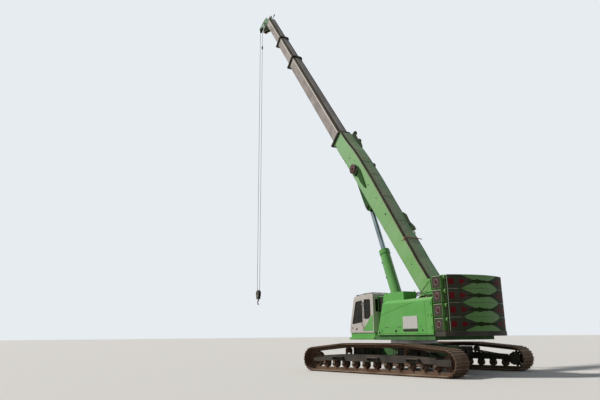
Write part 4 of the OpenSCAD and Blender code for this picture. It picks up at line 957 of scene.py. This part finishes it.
def back_strip(low, high, near, far, edge):
    """A strip that follows the raised back, from one height over it to another."""
    upper_line = [(u, BACK_TOP + rise + high) for u, rise in BACK]
    lower_line = [(u, BACK_TOP + rise + low) for u, rise in reversed(BACK)]
    return plate(upper_line + lower_line, near, far, edge)


piece("back_cover_left", "boom_base", back_grime, [back_strip(-0.01, 0.005, -0.10, 0.296, 0.002)], BOOM)
piece("back_cover_right", "boom_base", back_green, [back_strip(-0.01, 0.005, -0.336, -0.104, 0.002)], BOOM)
piece("back_edges", "boom_base", groove_shade, [
    back_strip(-0.010, 0.012, 0.290, EDGE_SIDE, 0.003), back_strip(-0.075, 0.008, BACK_SIDE, EDGE_SIDE, 0.003),
    back_strip(-0.010, 0.012, -EDGE_SIDE, -0.320, 0.003),
    back_strip(-0.060, 0.008, -EDGE_SIDE, -BACK_SIDE, 0.003)], BOOM)
side_cover = [(u, BACK_TOP + rise - 0.02) for u, rise in BACK] + [(11.66, 0.44), (0.62, 0.44)]
piece("back_sides", "boom_base", boom_green, [
    plate(side_cover, side * BACK_SIDE, side * 0.3512, 0.002) for side in (-1, 1)], BOOM)
piece("edge_cable", "boom_base", cable_highlight, [
    hose([(u, 0.360, BACK_TOP + rise - 0.10) for u, rise in BACK], 0.010, 3)], BOOM)
piece("back_seams", "boom_base", back_grime, [
    block((u, -0.33, BACK_TOP + rise - 0.01), (u + 0.05, 0.29, BACK_TOP + rise + 0.016), 0.004)
    for u, rise in ((2.9, 0.060), (4.2, 0.112), (5.9, 0.184), (7.6, 0.246), (8.7, 0.258))], BOOM)

# Collars: cast frames welded round each section's end, black with grease, that carry the
# slide pads; bolts in their fronts, sides and tops hold the pads.
COLLAR_PROUD = 0.093
COLLAR_WALL = 0.104
BOLT_BACK = 0.057
collar_black = finish("collar_black", (0.030, 0.030, 0.024), (0.06, 0.055, 0.045), 0.42, dust=0.3, stain=0.3,
                      shine=0.05, turn=BOOM_ANGLE)


def collar(name, width, depth, end, body):
    """A frame round a section's end: a box with rounded corners, opened and given its wall."""
    out = width / 2 + COLLAR_PROUD
    low = BOOM_MID - depth / 2 - COLLAR_PROUD
    high = BOOM_MID + depth / 2 + COLLAR_PROUD
    band = block((end - 0.114, -out, low), (end + 0.004, out, high))
    round_long_edges(band, high, width * UPPER_CORNER + COLLAR_PROUD, 7)
    round_long_edges(band, low, width * LOWER_CORNER + COLLAR_PROUD, 9)
    drop_faces(band, lambda face: abs(face.normal.x) > 0.9)
    thicken(band, COLLAR_WALL)
    piece(name, body, collar_black, [band], BOOM)
    bolts = []
    for side in (-1, 1):
        for z in [BOOM_MID - depth * 0.30 + number * depth * 0.17 for number in range(5)]:
            y = side * (width / 2 + 0.045)
            bolts.append(bar((end, y, z), (end + 0.018, y, z), 0.014, 6, 0.002))
            bolts.append(stud(end - BOLT_BACK, z, side * (out - 0.002), side * (out + 0.012), 0.012, 6, 0.002))
        for y in [side * width * (0.1 + number * 0.12) for number in range(3)]:
            bolts.append(post(end - BOLT_BACK, y, high - 0.002, high + 0.012, 0.012, 6, 0.002))
    piece(name + "_bolts", body, bare_steel, bolts, BOOM)


collar("base_collar", 0.70, 0.933, 11.90, "boom_base")
collar("collar_one", 0.65, 0.88, 22.00, "boom_1")
collar("collar_two", 0.60, 0.78, 25.54, "boom_2")

# Right edge of the base section: cut plates, welded on, that keep the hoist rope on the boom,
# one with a roller at the collar, one with a bracket's shape lower down, and a small lug.
# This dark green is partly painted shade, for the plates on the boom's shaded right edge; the other small
# fittings share it.
shaded_guide_iron = finish("shaded_guide_iron", (0.022, 0.045, 0.022), (0.04, 0.07, 0.035), 0.5, dust=0.3, stain=0.4,
                    shine=0.05, turn=BOOM_ANGLE)
piece("rope_guide", "boom_base", shaded_guide_iron, [
    plate([(11.62, 0.60), (11.60, 0.86), (11.50, 1.01), (11.36, 1.05), (11.22, 0.97), (11.26, 0.88),
           (10.90, 0.86), (10.74, 0.98), (10.58, 1.00), (10.48, 0.90), (10.30, 0.86), (10.16, 0.80),
           (10.10, 0.72), (10.16, 0.62)], -0.385, -0.345, 0.006),
    stud(11.42, 0.94, -0.37, -0.25, 0.035, 20, 0.006)], BOOM)
piece("rear_bracket", "boom_base", shaded_guide_iron, [
    plate([(4.78, 0.60), (4.70, 0.74), (4.45, 0.82), (4.00, 0.76), (3.62, 0.84), (3.40, 0.82), (3.46, 0.70),
           (3.60, 0.60)], -0.395, -0.345, 0.006)], BOOM)
piece("edge_lug", "boom_base", shaded_guide_iron, [
    plate([(8.55, 0.80), (8.50, 0.90), (8.34, 0.91), (8.25, 0.80)], -0.37, -0.30, 0.006)], BOOM)

# Length and angle sensors: two sealed boxes on the right edge near the boom's foot, with a
# pale cap and a rubber conduit that runs up the boom.
pale_cap = finish("pale_cap", (0.55, 0.53, 0.47), (0.46, 0.44, 0.38), 0.4, dust=0.3, stain=0.2)
piece("sensor_box", "boom_base", shaded_guide_iron, [
    block((3.85, -0.40, 0.60), (4.45, -0.30, 0.74), 0.02),
    block((3.45, -0.39, 0.60), (3.82, -0.31, 0.70), 0.015)], BOOM)
piece("sensor_cap", "boom_base", pale_cap, [
    bar((3.30, -0.355, 0.66), (3.47, -0.355, 0.66), 0.040, 20, 0.01)], BOOM)
piece("sensor_conduit", "boom_base", rubber, [
    hose([(4.43, -0.35, 0.68), (5.1, -0.35, 0.72), (5.8, -0.348, 0.72), (7.0, -0.350, 0.78)], 0.012)], BOOM)

# Strap across the boom's back, bent down over both edges, with red-brown primer showing; a
# short rod stands out of its right end.
strap_rust = finish("strap_rust", (0.19, 0.055, 0.035), (0.26, 0.10, 0.07), 0.6, dust=0.35, stain=0.3,
                    turn=BOOM_ANGLE)
piece("back_strap", "boom_base", strap_rust, [
    block((2.94, -0.375, 0.630), (3.02, 0.375, 0.650), 0.006),
    bar((2.98, -0.36, 0.64), (2.90, -0.52, 0.68), 0.018, 12, 0.004),
    block((2.94, 0.352, 0.46), (3.02, 0.375, 0.646), 0.006),
    block((2.94, -0.375, 0.46), (3.02, -0.352, 0.646), 0.006)], BOOM)

# Plugs on the base section's sides: turned caps in dark paint, screwed into the holes where
# the inner pads are reached.
piece("side_plugs", "boom_base", plug_dark, [
    stud(u, v, side * 0.349, side * 0.363, radius, 18, 0.004)
    for side in (-1, 1)
    for u, v, radius in ((9.72, 0.22, 0.030), (9.28, 0.40, 0.022), (7.19, 0.36, 0.032), (6.13, 0.36, 0.024),
                         (4.92, 0.34, 0.048), (3.04, 0.36, 0.024), (1.79, 0.13, 0.024))], BOOM)

# Hose reel: a wound rubber hose between pressed flanges, with a spoked rim, a maroon core and
# its bracket welded to the boom. Below it stands a dark green sheet of painted shadow, and its
# hose runs up to the collar.
REEL_U = 8.85
REEL_V = 0.11
reel_frame = finish("reel_frame", (0.20, 0.12, 0.135), (0.28, 0.19, 0.20), 0.45, dust=0.3, stain=0.3)
maroon = finish("maroon", (0.055, 0.016, 0.022), (0.09, 0.03, 0.035), 0.5, dust=0.25, stain=0.4)
# This dark green is painted shade. It darkens the sheet below the reel and the lift bracket under the boom.
painted_shade_green = finish("painted_shade_green", (0.022, 0.085, 0.020), (0.045, 0.14, 0.035), 0.5, dust=0.12, stain=0.7,
                      shine=0.05, turn=BOOM_ANGLE)
dress(dark_steel, "hose_reel")
piece("reel_hose", "boom_base", rubber, [
    ring((REEL_U, y, REEL_V), 0.228, 0.011, 40, 8) for y in (0.407, 0.429, 0.451, 0.473)], BOOM)
piece("reel_rim", "boom_base", reel_frame, [ring((REEL_U, 0.502, REEL_V), 0.252, 0.014, 48, 10)] + [
    bar((REEL_U + 0.05 * cos(turn), 0.505, REEL_V + 0.05 * sin(turn)),
        (REEL_U + 0.24 * cos(turn), 0.505, REEL_V + 0.24 * sin(turn)), 0.012, 10, 0.003)
    for turn in [number * pi / 3 for number in range(6)]], BOOM)
piece("reel_core", "boom_base", maroon, [
    stud(REEL_U, REEL_V, 0.499, 0.512, 0.215, 40, 0.004),
    stud(REEL_U, REEL_V, 0.510, 0.560, 0.055, 24, 0.008)], BOOM)
piece("reel_bracket", "boom_base", shaded_guide_iron, [
    block((8.42, 0.345, -0.02), (8.62, 0.47, 0.34), 0.015),
    block((8.60, 0.345, 0.06), (9.1, 0.365, 0.16), 0.006)], BOOM)
piece("reel_shadow_sheet", "boom_base", painted_shade_green, [
    plate([(8.67, 0.44), (8.40, 0.10), (7.83, 0.04), (7.30, 0.09), (7.22, 0.19), (7.75, 0.32), (8.33, 0.44)],
          0.345, 0.41, 0.01)], BOOM)
piece("reel_feed", "boom_base", boom_green, [
    hose([(8.85, 0.40, -0.128), (9.4, 0.37, -0.20), (10.2, 0.362, -0.24), (11.2, 0.362, -0.25),
          (11.78, 0.362, -0.25)], 0.012)], BOOM)

# Lifting cylinder: hard chromed rod, painted barrel with a bolted gland, two pressure pipes
# on clips along the barrel and the holding valve at its foot; its bracket hangs under the boom,
# its dark green a painted shade.
CYL = Matrix.Translation(Vector((0.48, 0, 1.95))) @ Matrix.Rotation(-radians(68.4636), 4, "Y")
GLAND_U = 3.772
GLAND_R = 0.215
barrel_green = finish("barrel_green", (0.125, 0.42, 0.085), (0.16, 0.45, 0.12), 0.3, dust=0.2, stain=0.2,
                      coat=0.3, turn=BOOM_ANGLE)
rod_chrome = finish("rod_chrome", (0.30, 0.36, 0.38), (0.16, 0.20, 0.21), 0.12, dust=0.05, stain=0.15,
                    metal=1.0, turn=BOOM_ANGLE)
dress(barrel_green, "lift_barrel")
dress(rod_chrome, "lift_rod")
dress(painted_shade_green, "lift_bracket")
piece("gland_bolts", "barrel", bare_steel, [
    bar((GLAND_U - 0.02, GLAND_R * cos(turn), GLAND_R * sin(turn)),
        (GLAND_U + 0.022, GLAND_R * cos(turn), GLAND_R * sin(turn)), 0.018, 6, 0.003)
    for turn in [number * pi / 6 for number in range(12)]], CYL)
piece("gland_ring", "barrel", bare_steel, [bar((3.768, 0, 0), (3.79, 0, 0), 0.165, 40, 0.005)], CYL)
piece("barrel_pipes", "barrel", green_paint, [
    hose([(u, y, v) for u, v in ((0.42, -0.215), (0.55, -0.262), (2.0, -0.262), (3.40, -0.262), (3.52, -0.23))],
         0.018, 4) for y in (-0.10, 0.10)], CYL)
piece("pipe_clips", "barrel", shaded_guide_iron, [
    block((u, -0.14, -0.285), (u + 0.05, 0.14, -0.218), 0.006) for u in (0.8, 1.6, 2.4, 3.2)], CYL)
piece("holding_valve", "barrel", bare_steel, [
    block((0.36, -0.09, -0.33), (0.56, 0.09, -0.20), 0.012),
    bar((0.56, 0, -0.27), (0.66, 0, -0.27), 0.035, 16, 0.006)], CYL)
piece("eye_cap", "boom_base", shaded_guide_iron, [
    stud(6.53, -0.55, side * 0.238, side * 0.262, 0.11, 32, 0.008) for side in (-1, 1)], BOOM)

# Boom head: a welded head box with a forked nose, its green darkened with painted shade. The
# hanger's cheeks, the fork's tip and the hoist sheave are near black with painted shade; the guide
# sheaves and the block's are brown nylon, the guide sheaves' brown partly painted shade.
shaded_head_green = finish("shaded_head_green", (0.07, 0.20, 0.07), (0.12, 0.30, 0.12), 0.4, dust=0.2, stain=0.4,
                    turn=BOOM_ANGLE)
# Near black olive of painted shade, for the parts in the head's shadow; the top box and knob share the darker
# olive.
head_shade = finish("head_shade", (0.014, 0.016, 0.005), (0.026, 0.026, 0.010), 0.7, dust=0.0, stain=0.3, shine=0.04)
olive_and_shade = finish("olive_and_shade", (0.035, 0.042, 0.018), (0.06, 0.065, 0.03), 0.5, dust=0.3, stain=0.4,
                    shine=0.05, turn=BOOM_ANGLE)
brown_nylon_and_shade = finish("brown_nylon_and_shade", (0.12, 0.045, 0.025), (0.18, 0.08, 0.05), 0.5, dust=0.3, stain=0.4)
dress(shaded_head_green, "boom_head")
dress(head_shade, "head_sheave")
dress(brown_nylon_and_shade, "guide_sheaves", "block_sheave")
piece("hanger_cheeks", "boom_3", head_shade, [
    plate([(28.82, -0.275), (29.30, -0.275), (29.90, -0.30), (30.04, -0.88), (29.98, -0.90), (29.82, -0.91)],
          side * 0.172, side * 0.180, 0.002) for side in (-1, 1)], BOOM)
piece("fork_tip", "boom_3", olive_and_shade, [
    plate([(30.90, -1.14), (31.22, -1.10), (31.24, -1.30), (31.16, -1.34), (30.90, -1.34)],
          side * 0.094, side * 0.100, 0.002) for side in (-1, 1)], BOOM)
piece("head_pins", "boom_3", bare_steel, [
    stud(29.60, 0.10, side * 0.198, side * 0.206, 0.05, 24, 0.003) for side in (-1, 1)], BOOM)

# Round the head: a green side lamp, a small box with its knob, a spot lamp, and a violet
# wind vane on a stalk that is bolted on the head's right side.
lamp_green = finish("lamp_green", (0.55, 0.72, 0.52), (0.48, 0.62, 0.44), 0.25, dust=0.2, stain=0.1, coat=0.6)
violet = finish("vane_violet", (0.06, 0.035, 0.09), (0.09, 0.06, 0.12), 0.4, dust=0.2, stain=0.1)
piece("head_lamp", "boom_3", lamp_green, [block((30.20, 0.10, 0.02), (30.38, 0.19, 0.14), 0.02, 3)], BOOM)
piece("head_top_box", "boom_3", olive_and_shade, [
    block((29.86, -0.14, 0.18), (30.10, 0.04, 0.30), 0.015),
    bar((29.98, -0.10, 0.28), (30.02, -0.10, 0.40), 0.03, 16, 0.006)], BOOM)
piece("head_knob", "boom_3", olive_and_shade, [
    bar((30.02, -0.10, 0.38), (30.03, -0.10, 0.46), 0.045, 20, 0.012)], BOOM)
piece("head_spot", "boom_3", pale_cap, [
    bar((29.70, -0.06, 0.24), (29.72, -0.06, 0.31), 0.05, 20, 0.012),
    block((29.42, 0.02, 0.42), (29.56, 0.14, 0.54), 0.012),
    bar((29.49, 0.16, 0.46), (29.74, 0.16, 0.50), 0.030, 16, 0.008)], BOOM)
piece("vane_stalk", "boom_3", shaded_guide_iron, [
    bar((29.80, -0.20, 0.18), (29.74, -0.20, 0.64), 0.022, 14, 0.004)], BOOM)
piece("wind_vane", "boom_3", violet, [
    bar((29.76, -0.20, 0.62), (29.70, -0.20, 0.70), 0.055, 20, 0.012),
    block((29.66, -0.215, 0.60), (29.84, -0.185, 0.65), 0.006)], BOOM)

# Hook block: dark steel cheeks held by hexagon bolts, two bars that guard the rope, a plain
# plate on each cheek, and the forged hook with its nut and spring latch.
HOOK_X = 18.0616
SHEAVE_Z = 4.6
dress(dark_steel, "hook_block")
dress(track_steel, "hook")
piece("block_bolts", "block", bare_steel, [
    stud(HOOK_X + x, SHEAVE_Z + z, side * 0.089, side * 0.104, 0.026, 6, 0.004)
    for side in (-1, 1) for x, z in ((-0.15, 0.13), (0.15, 0.13), (-0.12, -0.38), (0.12, -0.38))])
piece("block_guards", "block", dark_steel, [
    stud(x, SHEAVE_Z, -0.062, 0.062, 0.012, 12) for x in (HOOK_X - 0.285, HOOK_X + 0.285)])
piece("block_plate", "block", back_grime, [
    block((HOOK_X - 0.09, side * 0.0925 - 0.0035, 4.36), (HOOK_X + 0.09, side * 0.0925 + 0.0035, 4.44), 0.002)
    for side in (-1, 1)])
piece("hook_nut", "hook", bare_steel, [post(HOOK_X, 0, 4.06, 4.13, 0.062, 6, 0.006)])
piece("hook_latch", "hook", bare_steel, [
    bar((HOOK_X - 0.05, 0, 4.02), (HOOK_X + 0.09, 0, 3.94), 0.010, 12),
    bar((HOOK_X - 0.05, -0.03, 4.02), (HOOK_X - 0.05, 0.03, 4.02), 0.014, 12)])

# Hoist rope: the two falls' lower ends are drawn a second time inside them and ride on the
# block, so that they come out as it is lowered, for about 2.2 m of its way.
FALL_R = 0.23
dress(dark_steel, "hoist_rope")
piece("fall_tails", "block", rope_steel, [
    post(x, 0, 4.66, 6.84, 0.0125, 16, 0.002) for x in (HOOK_X - FALL_R, HOOK_X + FALL_R)])

# Load limit switch: a small hollow weight round the inner fall, under the head's fork, that
# stops the winch when the block lifts it.
weight = post(HOOK_X - FALL_R, 0, 25.02, 25.26, 0.060, 24)
drop_faces(weight, lambda face: abs(face.normal.z) > 0.9)
thicken(weight, 0.034)
piece("limit_weight", "falls", trim_black, [weight])
